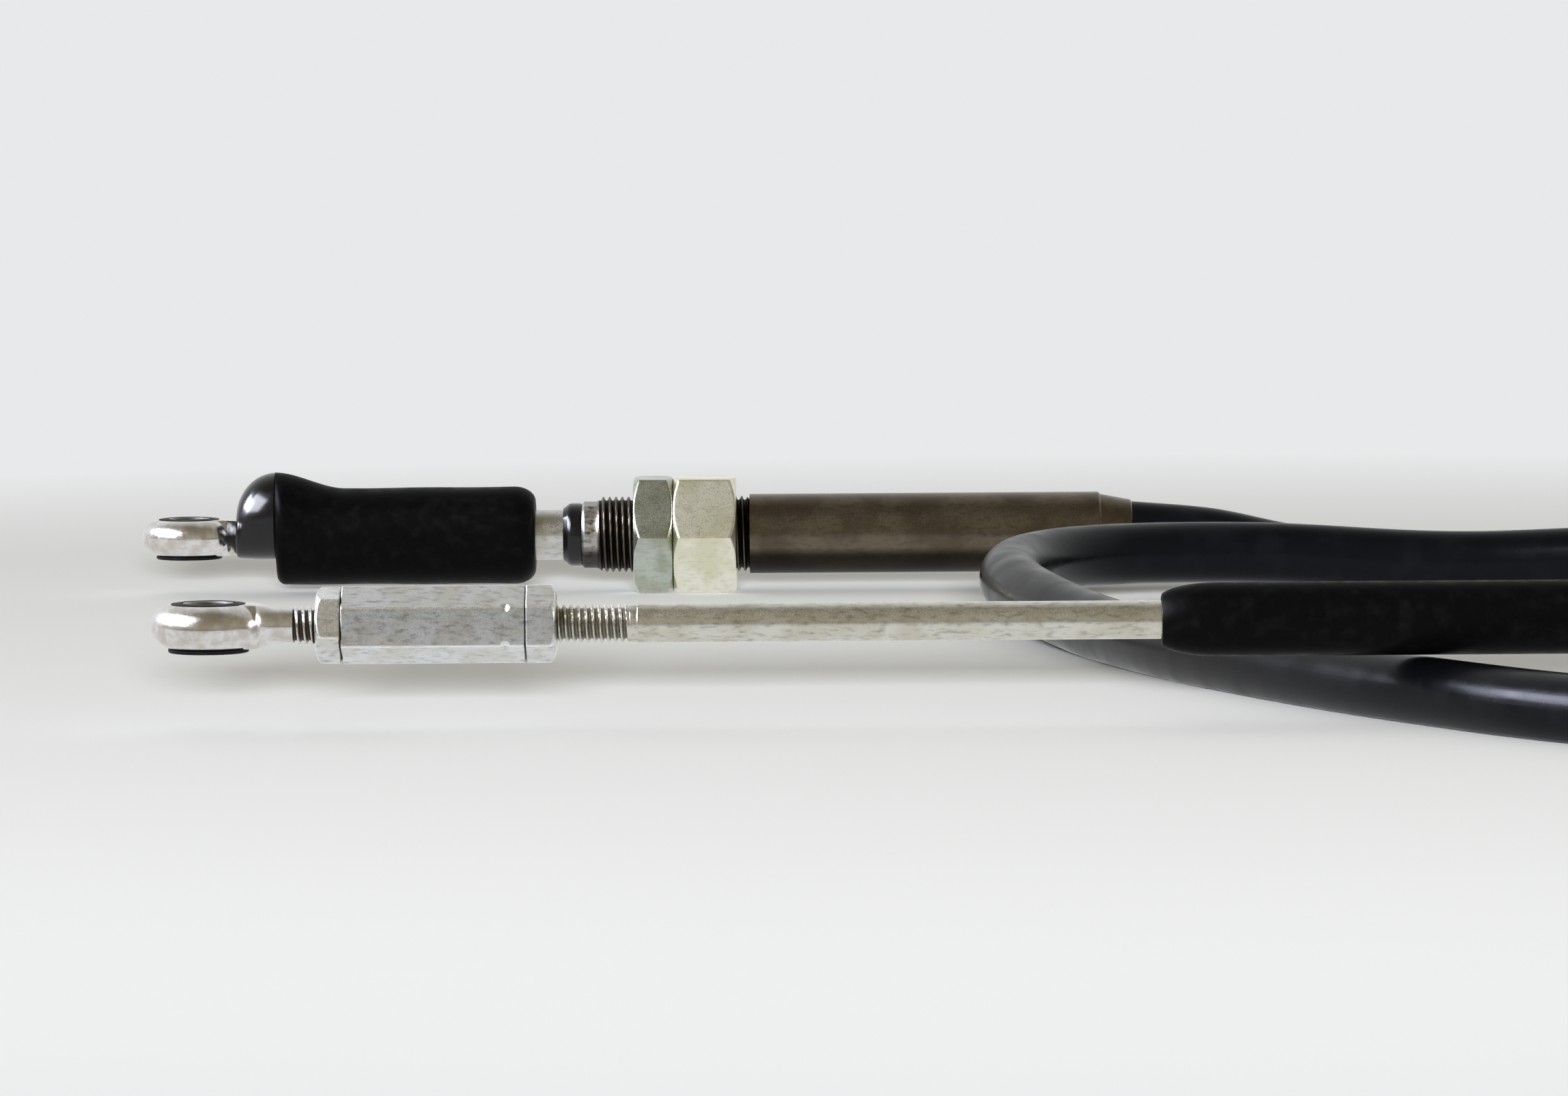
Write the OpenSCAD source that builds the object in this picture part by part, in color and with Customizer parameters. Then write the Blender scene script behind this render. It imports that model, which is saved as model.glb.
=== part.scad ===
// Push-pull control cable: a rod with an eye at each end, guide tubes, threaded bulkhead
// hubs and one black conduit between them, lying in loops on the floor.
// Millimetres. +X runs from the front eye along its rod, +Z is up, and the origin is
// the centre of the front eye's bore. Each end is made along X and then put in its place.

/* [Rod] */
// Diameter of both rods and of their threads
rod_d = 7.94; // [6:0.1:9.5]
// Rod in the open between the front adjuster's thread and the sleeve, fully out
rod_out = 107.5; // [90:0.5:140]
// Length of the front rod inside the sleeve when it is fully out
rod_in = 29; // [20:1:40]
// Thread that shows beyond the front rod's lock nut
thread_show = 13.7; // [8:0.1:18]
// Plain band where the rod's thread runs out
runout_l = 2.7; // [1.5:0.1:4]
// Width of the fine groove behind the run-out
groove_w = 0.4; // [0.2:0.1:0.8]
// Depth of that groove
groove_deep = 0.2; // [0.1:0.05:0.4]
// Chamfer at a rod's and a shank's end
rod_chamfer = 0.8; // [0.4:0.1:1.2]
// Diameter of the core wire
core_d = 4.8; // [3.5:0.1:5.2]
// Depth of the socket in each rod's inner end that holds the core
core_socket = 18; // [10:1:20]
// Least length of rod that stays in its guide tube
rod_hold = 14; // [12:1:20]
// Travel of each rod
stroke = 75; // [60:1:76]

/* [Rod eye] */
// Outer diameter of the eye's ring
eye_d = 23.6; // [21:0.1:26]
// Thickness of the eye
eye_t = 9.1; // [7.5:0.1:10]
// Bore of the ring, which the bush fills
eye_bore = 14.8; // [14:0.1:15.6]
// Diameter of the plain shank
shank_d = 7.3; // [6.5:0.1:7.5]
// Distance from the eye's centre to the end of the plain shank
shank_end = 17.4; // [16.5:0.1:20]
// Fillet between the ring and the shank, seen along the bore
neck_fillet = 5.5; // [4:0.1:6]
// Thread that shows between the front eye's shank and its lock nut
front_thread = 4.6; // [2:0.1:6]
// Gap between the rear eye's ring and the boot's mouth when the rod is fully in
rear_eye_gap = 0.2; // [0.1:0.1:1]
// Length of the eye's thread inside its coupling
eye_thread_in = 17; // [12:0.5:18]

/* [Bush] */
// Diameter of the rubber bush's flanges
bush_flange_d = 16.6; // [16:0.1:18]
// How far the lower flange stands out of the eye
bush_proud = 0.85; // [0.5:0.05:1.2]
// How far the upper flange stands out of the eye, pressed nearly flat
bush_top = 0.3; // [0.2:0.05:0.5]
// Outer diameter of the steel sleeve in the bush
pin_sleeve_d = 11; // [10.5:0.1:12]
// Bore of that sleeve, for the pin of a lever
pin_bore = 8.2; // [7.5:0.1:8.6]
// How far the steel sleeve's end lies below the upper flange
pin_sleeve_in = 0.1; // [0.05:0.05:0.15]

/* [Adjuster] */
// Width across flats of the coupling and the lock nuts
hex_af = 14; // [13:0.1:15]
// Length of the hex coupling
coupling_l = 37.8; // [34:0.1:45]
// Room between the eye's thread and the rod inside the coupling
adjust_l = 4; // [1:0.5:8]
// Thickness of the lock nut at the eye
eye_nut_t = 5.3; // [4:0.1:7]
// Thickness of the lock nut at the rod
rod_nut_t = 6.4; // [4:0.1:7]
// Turn of the eye's lock nut against the coupling, in degrees
eye_nut_turn = -16; // [-30:1:30]
// Length of the rounded chamfer on a lock nut's outer face
nut_round = 2.4; // [1.5:0.1:3]
// Chamfer on the coupling's end faces
coupling_chamfer = 0.5; // [0.2:0.1:1]
// Distance of the two punch marks from the coupling's end
punch_in = 4.1; // [3:0.1:6]
// Radius of a punch mark
punch_r = 0.8; // [0.5:0.1:1]

/* [Front sleeve and tube] */
// Outer diameter of the black sleeve
sleeve_d = 15.2; // [14.8:0.1:17]
// Diameter of the sleeve's mouth
mouth_d = 10.5; // [10:0.1:11.5]
// Length of the curved taper behind the mouth
mouth_l = 12.2; // [9:0.1:16]
// Length of the whole sleeve
sleeve_l = 117; // [112:0.5:130]
// Length of the lip in the mouth
lip_l = 3.6; // [2.5:0.1:5]
// Outer diameter of the steel guide tubes
tube_d = 12.6; // [11.5:0.1:12.8]
// Length of the wiper ring behind the lip
wiper_t = 2.6; // [2:0.1:4]

/* [Hub] */
// Thread diameter of the bulkhead hubs
hub_d = 19.05; // [18.5:0.05:20]
// Pitch of that thread
hub_pitch = 1.59; // [1.25:0.01:1.8]
// Width across flats of the hub nuts
hub_af = 28.6; // [27:0.1:32]
// Thickness of the jam nut
jam_t = 10; // [8:0.1:11]
// Thickness of the full nut
full_t = 15.9; // [13:0.1:17]
// Chamfer on the corners of the hub nuts
hub_nut_chamfer = 1.6; // [1:0.1:2]
// Diameter of the hub's plain collar
collar_d = 16.8; // [16.2:0.1:17.2]
// Length of that collar
collar_l = 4.3; // [3:0.1:8]
// Depth of the socket in the hub that holds the guide tube
socket_l = 12; // [8:0.5:20]
// Length of the rubber seal between the guide tube and the hub
seal_l = 4.7; // [3:0.1:6]
// Diameter of that seal at the hub
seal_d = 16; // [15.4:0.1:16.2]
// Bare thread between the collar and the jam nut
bare_l = 8.7; // [8:0.1:14]
// Length of the front hub's thread
front_thread_l = 48; // [42:0.5:60]
// Length of the rear hub's thread
rear_thread_l = 38; // [37:0.5:60]
// Diameter of the rear hub's plain tube
rear_tube_d = 20; // [19.6:0.1:21]
// Length of that tube
rear_tube_l = 88.5; // [85:0.5:100]
// Length of both ferrules
ferrule_l = 8; // [6:0.5:14]
// Diameter of the front ferrule
ferrule_d = 16.8; // [16.2:0.1:17.4]
// Diameter of the rear ferrule where it meets the conduit
ferrule_nose_d = 15.8; // [15.4:0.1:17]

/* [Rear boot] */
// Outer diameter of the rear boot's body
boot_d = 24.4; // [23:0.1:25]
// Length of the rear boot with its nose
boot_l = 75.5; // [70:0.5:80]
// Length of the guide tube that shows between the boot and the hub's seal
tube_show = 7; // [5:0.1:12]
// Length of the nose in front of the body
nose_l = 10.2; // [9.8:0.1:11.5]
// Largest diameter of the nose
nose_d = 20.4; // [20:0.1:22]
// How far the soft nose leans up from the rod
nose_lift = 4.6; // [3:0.1:5]
// Length of the lip in the nose, ahead of the wiper
nose_lip = 10.4; // [9.8:0.1:12]
// Length over which the nose slopes down into the body
nose_tail = 18; // [14:0.5:22]
// Wall of the boot's body
boot_wall = 2; // [1.5:0.1:2.5]
// Thickness of the body's closed front end
boot_front = 6; // [5:0.1:9]
// Rounding of the body's front corner
boot_round = 2; // [0.8:0.1:2.5]
// Length of the rounded shoulder at the body's other end
boot_shoulder = 5.5; // [3:0.1:8]

/* [Conduit and lay] */
// Diameter of the conduit
conduit_d = 15; // [13:0.1:15]
// Distance between the front end's axis and the rear end's
ends_apart = 372; // [368:1:376]
// Distance that the rear boot's mouth lies behind the front eye's centre
rear_back = 20; // [16:1:24]

/* [Fits] */
// Running clearance all round a rod or a turning thread
run_gap = 0.05; // [0.02:0.01:0.09]
// Clearance all round between pieces that are fitted together
seat_gap = 0.03; // [0.02:0.01:0.05]
// Clearance under a piece that lies on another
lay_gap = 0.3; // [0.1:0.1:0.4]

/* [Hidden] */

// Finishes
zinc = [0.72, 0.73, 0.70];
dull_steel = [0.47, 0.43, 0.36];
black_rubber = [0.06, 0.06, 0.065];
black_plastic = [0.09, 0.1, 0.11];
wire_grey = [0.55, 0.55, 0.55];

$fn = 96;
tiny = 0.01;
core_play = 1;
hex_r = hex_af / 2 / cos(30);

// Small edges: chamfers and roundings that no other piece depends on
hub_edge = 0.6;
bush_edge = 0.4;
bush_rim = 0.1;
sleeve_edge = 0.6;
mouth_edge = 0.5;
seal_edge = 0.5;
seal_slope = 1.2;
wiper_flare = 0.7;
nut_face_r = 0.3 * hex_af;
nut_edge = 0.05 * hex_r;
hub_face_in = 0.3;

// Under its nuts a hub's thread and the nuts' threads meet at the pitch diameter.
hub_mid_d = hub_d - 0.65 * hub_pitch;
thread_relief = 0.3;
bush_low = -eye_t / 2 - bush_proud;
bush_high = eye_t / 2 + bush_top;
pin_sleeve_t = 2 * (bush_high - pin_sleeve_in);

// Stations along the front axis
front_nut_x = shank_end + front_thread;
front_coupling_x = front_nut_x + eye_nut_t;
front_rod_nut_x = front_coupling_x + coupling_l;
front_rod_x = front_coupling_x + eye_thread_in + adjust_l;
front_thread_x = front_rod_nut_x + rod_nut_t;
front_groove_x = front_thread_x + thread_show + runout_l;
mouth_x = front_groove_x + rod_out;
front_rod_end = mouth_x + rod_in;
front_wiper_x = mouth_x + lip_l + tiny;
front_tube_x = front_wiper_x + wiper_t + tiny;
front_hub_x = mouth_x + sleeve_l + seal_l + 2 * tiny;
front_tube_end = front_hub_x + socket_l;
front_thread_end = front_hub_x + collar_l + front_thread_l;
front_conduit_x = front_thread_end + ferrule_l;

// Where the nuts start on a hub, counted from the collar's free end
jam_nut_in = collar_l + bare_l;
full_nut_in = jam_nut_in + jam_t + tiny;

// Stations along the rear axis, counted from the boot's mouth
rear_eye_x = -eye_d / 2 - rear_eye_gap;
rear_wiper_x = nose_lip + tiny;
rear_tube_x = rear_wiper_x + wiper_t + tiny;
rear_hub_x = boot_l + tube_show + seal_l + tiny;
rear_tube_end = rear_hub_x + socket_l;
rear_rod_end = rear_tube_end + stroke - rod_hold;
rear_thread_end = rear_hub_x + collar_l + rear_thread_l;
rear_ferrule_x = rear_thread_end + rear_tube_l;
rear_conduit_x = rear_ferrule_x + ferrule_l;

// Heights. The conduit is cut flat underneath by a tenth of its diameter.
conduit_flat = conduit_d / 10;
conduit_h = conduit_d / 2 - conduit_flat;
floor_z = -(conduit_h + conduit_d / 2 + lay_gap + sleeve_d / 2);
rear_z = floor_z + hub_af / 2;

// The conduit's centreline from the rear ferrule to the front one: X, Y and the height
// above the floor. It crosses under the sleeve, over itself and under the front ferrule.
route = [
    [206, 372, 14.3], [226, 372, 12.4], [248, 371.5, 8], [276, 370, 6.1],
    [322, 362, 6], [364, 343, 6], [397, 314, 6], [418, 277, 6],
    [430, 232, 6], [436, 170, 6], [437, 85, 6], [431, 0, 6],
    [420, -44, 6], [394, -79, 6], [353, -95, 6], [312, -84, 6],
    [276, -45, 6], [249, 0, 6], [227, 47, 6], [206, 103, 6],
    [190, 160, 6.5], [177, 212, 9], [172, 255, 11], [178, 292, 12],
    [199, 321, 12], [237, 338, 11], [290, 338, 8.5], [352, 319, 13],
    [384, 304, 19], [411, 290, 21.3], [447, 271, 19], [488, 242, 11],
    [524, 202, 6], [546, 154, 6], [549, 104, 6.5], [533, 57, 10.5],
    [500, 18, 17], [463, 2, 20.8], [431, 0, 21.3], [387, 0, 21.4]
];
conduit_sides = 12;

// The route's end points follow the ferrules that they meet.
first_point = [rear_conduit_x - rear_back, ends_apart, rear_z - floor_z];
last_point = [front_conduit_x, 0, -floor_z];
guide = [for (i = [0:len(route) - 1])
    i == 0 ? first_point : i == len(route) - 1 ? last_point : route[i]];

// Catmull-Rom point halfway between point i and the next one
function halfway(p, i) =
    (9 * (p[i] + p[i + 1]) - p[max(i - 1, 0)] - p[min(i + 2, len(p) - 1)]) / 16;
function smooth_line(p) = [for (i = [0:2 * len(p) - 2])
    i % 2 == 0 ? p[i / 2] : halfway(p, (i - 1) / 2)];
function unit(v) = v / norm(v);
function heading(p, i) =
    i == 0 || i == len(p) - 1 ? [i == 0 ? 1 : -1, 0, 0] : unit(p[i + 1] - p[i - 1]);

// One ring of a tube round a point: flats face up and down, and nothing goes below 0.
function ring(at, along, r, sides) =
    let (side = unit(cross(along, [0, 0, 1])), up = cross(side, along))
    [for (k = [0:sides - 1])
        let (a = 360 * (k + 0.5) / sides, q = at + r * (cos(a) * side + sin(a) * up))
        [q[0], q[1], max(q[2], 0)]];

function ring_faces(rings, n) = [for (i = [0:rings - 2], k = [0:n - 1], half = [0, 1])
    let (a = i * n + k, b = i * n + (k + 1) % n)
    half == 0 ? [a, b, b + n] : [a, b + n, a + n]];

// A tube swept along a line of points, closed at both ends
module swept_tube(line, r, sides) {
    last = (len(line) - 1) * sides;
    polyhedron(
        points = [for (i = [0:len(line) - 1]) each ring(line[i], heading(line, i), r, sides)],
        faces = concat(
            ring_faces(len(line), sides),
            [[for (k = [sides - 1:-1:0]) k]],
            [[for (k = [0:sides - 1]) last + k]]
        )
    );
}

// Quarter of an ellipse between two stations, as [radius, x] points
function bulge(r0, r1, x0, x1, steps = 10) =
    [for (i = [0:steps]) [r0 + (r1 - r0) * sin(90 * i / steps), x1 - (x1 - x0) * cos(90 * i / steps)]];

// A solid turned about X from [radius, x] points
module turned(points) {
    rotate([0, 90, 0]) rotate_extrude() polygon(points);
}

// A plain cylinder or bore along X
module along_x(d, x0, x1) {
    translate([x0, 0, 0]) rotate([0, 90, 0]) cylinder(d = d, h = x1 - x0);
}

// A hexagonal bar along X with corners up and down and flats to the sides
module hex_x(af, x0, x1) {
    translate([x0, 0, 0]) rotate([0, 90, 0]) cylinder(d = af / cos(30), h = x1 - x0, $fn = 6);
}

// Puts a piece made on the rear axis in its place.
module on_rear() {
    translate([-rear_back, ends_apart, rear_z]) children();
}

// Distance from an eye's centre at which its neck has narrowed to a shank of diameter d
function neck_end(d) = sqrt(pow(eye_d / 2 + neck_fillet, 2) - pow(d / 2 + neck_fillet, 2));

// Forged eye: a ring with a full-round rim and a neck that narrows in both views
module rod_eye(d) {
    rim = eye_t / 2;
    fillet_y = d / 2 + neck_fillet;
    fillet_x = neck_end(d);
    fillet_a = atan2(fillet_y, fillet_x);
    start = eye_d / 2 * cos(fillet_a) - rim / 4;
    neck = [for (i = [0:10])
        let (a = fillet_a + (90 - fillet_a) * i / 10)
        [fillet_y - neck_fillet * sin(a), fillet_x - neck_fillet * cos(a)]];
    waist = [for (i = [0:10])
        let (t = i / 10)
        [start + (fillet_x - start) * t, rim - (rim - d / 2) * (1 - cos(180 * t)) / 2]];
    rotate_extrude() union() {
        translate([eye_d / 2 - rim, 0]) circle(r = rim);
        translate([0, -rim]) square([eye_d / 2 - rim, eye_t]);
    }
    intersection() {
        turned(concat([[0, 0], [neck[0][0], 0]], neck, [[0, fillet_x]]));
        rotate([90, 0, 0]) linear_extrude(height = eye_d, center = true)
            polygon(concat([[0, -rim], [0, rim]], waist,
                [for (i = [10:-1:0]) [waist[i][0], -waist[i][1]]]));
    }
}

module eye_hole() {
    cylinder(d = eye_bore, h = 2 * eye_t, center = true);
}

// Rubber bush: a barrel with a flange on each face of the eye, the upper one pressed flat
module bush() {
    hole = pin_sleeve_d / 2 + seat_gap;
    barrel = eye_bore / 2 - seat_gap;
    flange = bush_flange_d / 2;
    seat = eye_t / 2 + tiny;
    rotate_extrude() polygon([
        [hole, bush_low], [flange - bush_edge, bush_low], [flange, bush_low + bush_edge],
        [flange, -seat], [barrel, -seat], [barrel, seat], [flange, seat],
        [flange, seat + bush_rim], [hole + bush_edge, bush_high], [hole, bush_high]
    ]);
}

module pin_sleeve() {
    difference() {
        cylinder(d = pin_sleeve_d, h = pin_sleeve_t, center = true);
        cylinder(d = pin_bore, h = pin_sleeve_t + 2, center = true);
    }
}

// Lock nut from x on, rounded towards the face on its left
module lock_nut(x, t) {
    corner = hex_r + nut_edge;
    difference() {
        intersection() {
            hex_x(hex_af, x, x + t);
            turned(concat([[0, x]], bulge(nut_face_r, corner, x, x + nut_round),
                [[corner, x + t - 2 * nut_edge], [hex_r - nut_edge, x + t], [0, x + t]]));
        }
        along_x(rod_d + 2 * run_gap, x - 1, x + t + 1);
    }
}

// Hex coupling: threaded right through, with two punch marks that lock it to the rod
module coupling(x) {
    end = x + coupling_l;
    difference() {
        intersection() {
            hex_x(hex_af, x, end);
            turned([[0, x], [hex_r - coupling_chamfer, x], [hex_r, x + coupling_chamfer],
                [hex_r, end - coupling_chamfer], [hex_r - coupling_chamfer, end], [0, end]]);
        }
        along_x(rod_d + 2 * run_gap, x - 1, end + 1);
        for (edge = [-1, 1])
            rotate([30 * edge, 0, 0]) translate([end - punch_in, -hex_r, 0]) sphere(r = punch_r, $fn = 32);
    }
}

// Rod from x0 to x1 with chamfered ends and a socket for the core in its inner end
module rod(x0, x1, chamfer = rod_chamfer) {
    difference() {
        turned([[0, x0], [rod_d / 2 - chamfer, x0], [rod_d / 2, x0 + chamfer],
            [rod_d / 2, x1 - rod_chamfer], [rod_d / 2 - rod_chamfer, x1], [0, x1]]);
        along_x(core_d + 2 * run_gap, x1 - core_socket, x1 + 1);
    }
}

// Steel tube that guides a rod
module guide_tube(x0, x1) {
    difference() {
        along_x(tube_d, x0, x1);
        along_x(rod_d + 2 * run_gap, x0 - 1, x1 + 1);
    }
}

// Rubber ring that wipes a rod, held in front of the guide tube
module wiper(x) {
    r = rod_d / 2 + run_gap;
    turned([[r + wiper_flare, x], [tube_d / 2, x], [tube_d / 2, x + wiper_t], [r, x + wiper_t],
        [r, x + wiper_t / 2]]);
}

// Rubber seal round a guide tube, widening towards the hub at x
module hub_seal(x) {
    seat = tube_d / 2 + seat_gap;
    r = seal_d / 2;
    turned([[seat, x - seal_l], [seat + seal_edge, x - seal_l], [r - seal_edge, x - seal_l + seal_slope],
        [r, x - seal_l / 2], [r, x - seal_edge], [r - seal_edge, x], [seat, x]]);
}

// Bulkhead nut with flats up and down, chamfered on both faces
module hub_nut(x, t) {
    corner = hub_af / 2 / cos(30);
    face = hub_af / 2 - hub_face_in;
    difference() {
        intersection() {
            rotate([30, 0, 0]) hex_x(hub_af, x, x + t);
            turned([[0, x], [face, x], [corner + tiny, x + hub_nut_chamfer],
                [corner + tiny, x + t - hub_nut_chamfer], [face, x + t], [0, x + t]]);
        }
        along_x(hub_mid_d + 2 * run_gap, x - 1, x + t + 1);
    }
}

// Threaded hub from x on: plain collar with the tube's socket, then the thread
module hub_body(x, thread_l) {
    thread_x = x + collar_l;
    c = collar_d / 2;
    t = hub_d / 2;
    m = hub_mid_d / 2;
    nuts_x = x + jam_nut_in - thread_relief;
    nuts_end = x + full_nut_in + full_t + thread_relief;
    turned([
        [0, x], [c - hub_edge, x], [c, x + hub_edge], [c, thread_x], [t - hub_edge, thread_x],
        [t, thread_x + hub_edge], [t, nuts_x], [m, nuts_x], [m, nuts_end], [t, nuts_end],
        [t, thread_x + thread_l - hub_edge], [t - hub_edge, thread_x + thread_l], [0, thread_x + thread_l]
    ]);
}

module front_eye() {
    thread_end = shank_end + front_thread + eye_nut_t + eye_thread_in;
    r = rod_d / 2;
    color(zinc) difference() {
        union() {
            rod_eye(shank_d);
            along_x(shank_d, neck_end(shank_d) - tiny, shank_end);
            turned([[0, shank_end - tiny], [shank_d / 2, shank_end - tiny], [r, shank_end + r - shank_d / 2],
                [r, thread_end - rod_chamfer], [r - rod_chamfer, thread_end], [0, thread_end]]);
        }
        eye_hole();
    }
}

module front_bush() {
    color(black_rubber) bush();
}

module front_pin_sleeve() {
    color(zinc) pin_sleeve();
}

module front_eye_nut() {
    color(zinc) rotate([eye_nut_turn, 0, 0]) lock_nut(front_nut_x, eye_nut_t);
}

module front_coupling() {
    color(zinc) coupling(front_coupling_x);
}

module front_rod_nut() {
    color(zinc) translate([front_thread_x, 0, 0]) mirror([1, 0, 0]) lock_nut(0, rod_nut_t);
}

// Front rod, with a fine groove where its thread has run out
module front_rod() {
    color(zinc) difference() {
        rod(front_rod_x, front_rod_end);
        difference() {
            along_x(rod_d + 1, front_groove_x - groove_w, front_groove_x);
            along_x(rod_d - 2 * groove_deep, front_groove_x - 1, front_groove_x + 1);
        }
    }
}

module front_core() {
    color(wire_grey)
        along_x(core_d, front_rod_end - core_socket + tiny, front_thread_end - stroke - lay_gap);
}

// Black sleeve over the guide tube, drawn in to a lip at the rod
module front_sleeve() {
    seat = tube_d / 2 + seat_gap;
    end = mouth_x + sleeve_l;
    lip = rod_d / 2 + run_gap;
    early = 0.35;
    taper = [for (i = [0:12])
        let (t = i / 12)
        [(mouth_d + (sleeve_d - mouth_d) * sin(90 * t)) / 2,
            mouth_x + mouth_l * t * (early + (1 - early) * t)]];
    color(black_rubber) turned(concat(
        [[lip, mouth_x + mouth_edge], [lip + mouth_edge, mouth_x]], taper,
        [[sleeve_d / 2, end - sleeve_edge], [sleeve_d / 2 - sleeve_edge, end], [seat, end],
            [seat, mouth_x + lip_l], [lip, mouth_x + lip_l]]
    ));
}

module front_wiper() {
    color(black_rubber) wiper(front_wiper_x);
}

module front_guide_tube() {
    color(zinc) guide_tube(front_tube_x, front_tube_end);
}

module front_hub() {
    color(dull_steel) difference() {
        hub_body(front_hub_x, front_thread_l);
        along_x(tube_d + 2 * seat_gap, front_hub_x - 1, front_tube_end + tiny);
        along_x(core_d + core_play, front_hub_x, front_thread_end + 1);
    }
}

// Crimped ferrule between the hub and the conduit, with a crimp groove round it
module front_ferrule() {
    r = ferrule_d / 2;
    x = front_thread_end;
    part = ferrule_l / 8;
    color(zinc) turned([
        [0, x], [r - part / 2, x], [r, x + part / 2], [r, x + 2.5 * part], [r - part / 2, x + 3 * part],
        [r - part / 2, x + 5 * part], [r, x + 5.5 * part], [r, x + 7.5 * part], [r - part / 2, x + 8 * part],
        [0, x + 8 * part]
    ]);
}

module conduit() {
    color(black_plastic) translate([0, 0, floor_z])
        swept_tube(smooth_line(guide), conduit_d / 2 / cos(180 / conduit_sides), conduit_sides);
}

// Tapered ferrule at the rear tube's end
module rear_ferrule() {
    x = rear_ferrule_x;
    color(dull_steel) on_rear() turned([[0, x], [rear_tube_d / 2 - hub_edge, x],
        [ferrule_nose_d / 2, x + ferrule_l - hub_edge], [ferrule_nose_d / 2 - hub_edge, x + ferrule_l],
        [0, x + ferrule_l]]);
}

// Rear hub: like the front one, with a long plain tube behind its thread for the rod
module rear_hub() {
    color(dull_steel) on_rear() difference() {
        union() {
            hub_body(rear_hub_x, rear_thread_l);
            turned([[0, rear_thread_end - tiny], [rear_tube_d / 2, rear_thread_end - tiny],
                [rear_tube_d / 2, rear_ferrule_x - hub_edge], [rear_tube_d / 2 - hub_edge, rear_ferrule_x],
                [0, rear_ferrule_x]]);
        }
        along_x(tube_d + 2 * seat_gap, rear_hub_x - 1, rear_tube_end + tiny);
        along_x(rod_d + core_play, rear_hub_x, rear_rod_end + lay_gap);
        along_x(core_d + core_play, rear_hub_x, rear_ferrule_x + 1);
    }
}

module rear_guide_tube() {
    color(zinc) on_rear() guide_tube(rear_tube_x, rear_tube_end);
}

module rear_wiper() {
    color(black_rubber) on_rear() wiper(rear_wiper_x);
}

// Soft nose of the boot: the mouth lies round the rod and the ball behind it leans up.
module boot_nose() {
    r = nose_d / 2;
    back = 0.3 * nose_l;
    hull() {
        along_x(mouth_d, 0, tiny);
        translate([nose_l, 0, nose_lift]) rotate([0, 90, 0]) rotate_extrude($fn = 48)
            polygon([for (i = [0:12]) [r * sin(15 * i), -(i > 6 ? back : nose_l) * cos(15 * i)]]);
        translate([nose_l + nose_tail, 0, 0]) rotate([0, 90, 0])
            cylinder(d = boot_d - 2 * boot_wall, h = tiny, $fn = 48);
    }
}

// Rear boot: hollow round the guide tube, closed on it at both ends and tight on the rod
module rear_boot() {
    r = boot_d / 2;
    corner = [for (i = [0:6]) [r - boot_round + boot_round * cos(15 * i), boot_round * (1 - sin(15 * i))]];
    lip = rod_d / 2 + run_gap;
    bell_l = neck_end(rod_d) + rear_eye_x;
    bell_r = 0.7 * (mouth_d / 2 - lip);
    bell = [for (i = [0:6]) [lip + bell_r * pow(1 - i / 6, 2), bell_l * i / 6]];
    end_r = 0.7;
    color(black_rubber) on_rear() difference() {
        union() {
            boot_nose();
            turned(concat(
                [[0, nose_l]], [for (i = [6:-1:0]) [corner[i][0], nose_l + corner[i][1]]],
                [for (i = [0:10]) [r * (end_r + (1 - end_r) * cos(9 * i)),
                    boot_l - boot_shoulder * (1 - sin(9 * i))]],
                [[0, boot_l]]
            ));
        }
        turned(concat([[0, -tiny], [bell[0][0], -tiny]], bell, [[lip, boot_l + 1], [0, boot_l + 1]]));
        along_x(tube_d + 2 * seat_gap, nose_lip, boot_l + 1);
        along_x(boot_d - 2 * boot_wall, nose_l + boot_front, boot_l - boot_shoulder);
    }
}

module rear_core() {
    color(wire_grey) on_rear() along_x(core_d, rear_rod_end - core_socket + tiny, rear_ferrule_x - lay_gap);
}

// Rear rod, forged in one piece with its eye
module rear_rod() {
    color(zinc) on_rear() difference() {
        union() {
            translate([rear_eye_x, 0, 0]) rod_eye(rod_d);
            rod(rear_eye_x + neck_end(rod_d) - tiny, rear_rod_end, tiny);
        }
        translate([rear_eye_x, 0, 0]) eye_hole();
    }
}

module rear_bush() {
    color(black_rubber) on_rear() translate([rear_eye_x, 0, 0]) bush();
}

module rear_pin_sleeve() {
    color(zinc) on_rear() translate([rear_eye_x, 0, 0]) pin_sleeve();
}

// Places its children on both hubs, at the collar's free end.
module on_hubs() {
    translate([front_hub_x, 0, 0]) children();
    on_rear() translate([rear_hub_x, 0, 0]) children();
}

module hub_jam_nuts() {
    color(zinc) on_hubs() hub_nut(jam_nut_in, jam_t);
}

module hub_full_nuts() {
    color(zinc) on_hubs() hub_nut(full_nut_in, full_t);
}

module hub_seals() {
    color(black_rubber) on_hubs() hub_seal(-tiny);
}

front_eye();
front_bush();
front_pin_sleeve();
front_eye_nut();
front_coupling();
front_rod_nut();
front_rod();
front_core();
front_sleeve();
front_wiper();
front_guide_tube();
front_hub();
front_ferrule();
conduit();
rear_ferrule();
rear_hub();
rear_guide_tube();
rear_wiper();
rear_boot();
rear_core();
rear_rod();
rear_bush();
rear_pin_sleeve();
hub_jam_nuts();
hub_full_nuts();
hub_seals();
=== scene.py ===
import math

import bmesh
import bpy
import numpy as np
from mathutils import Matrix, Vector


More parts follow.
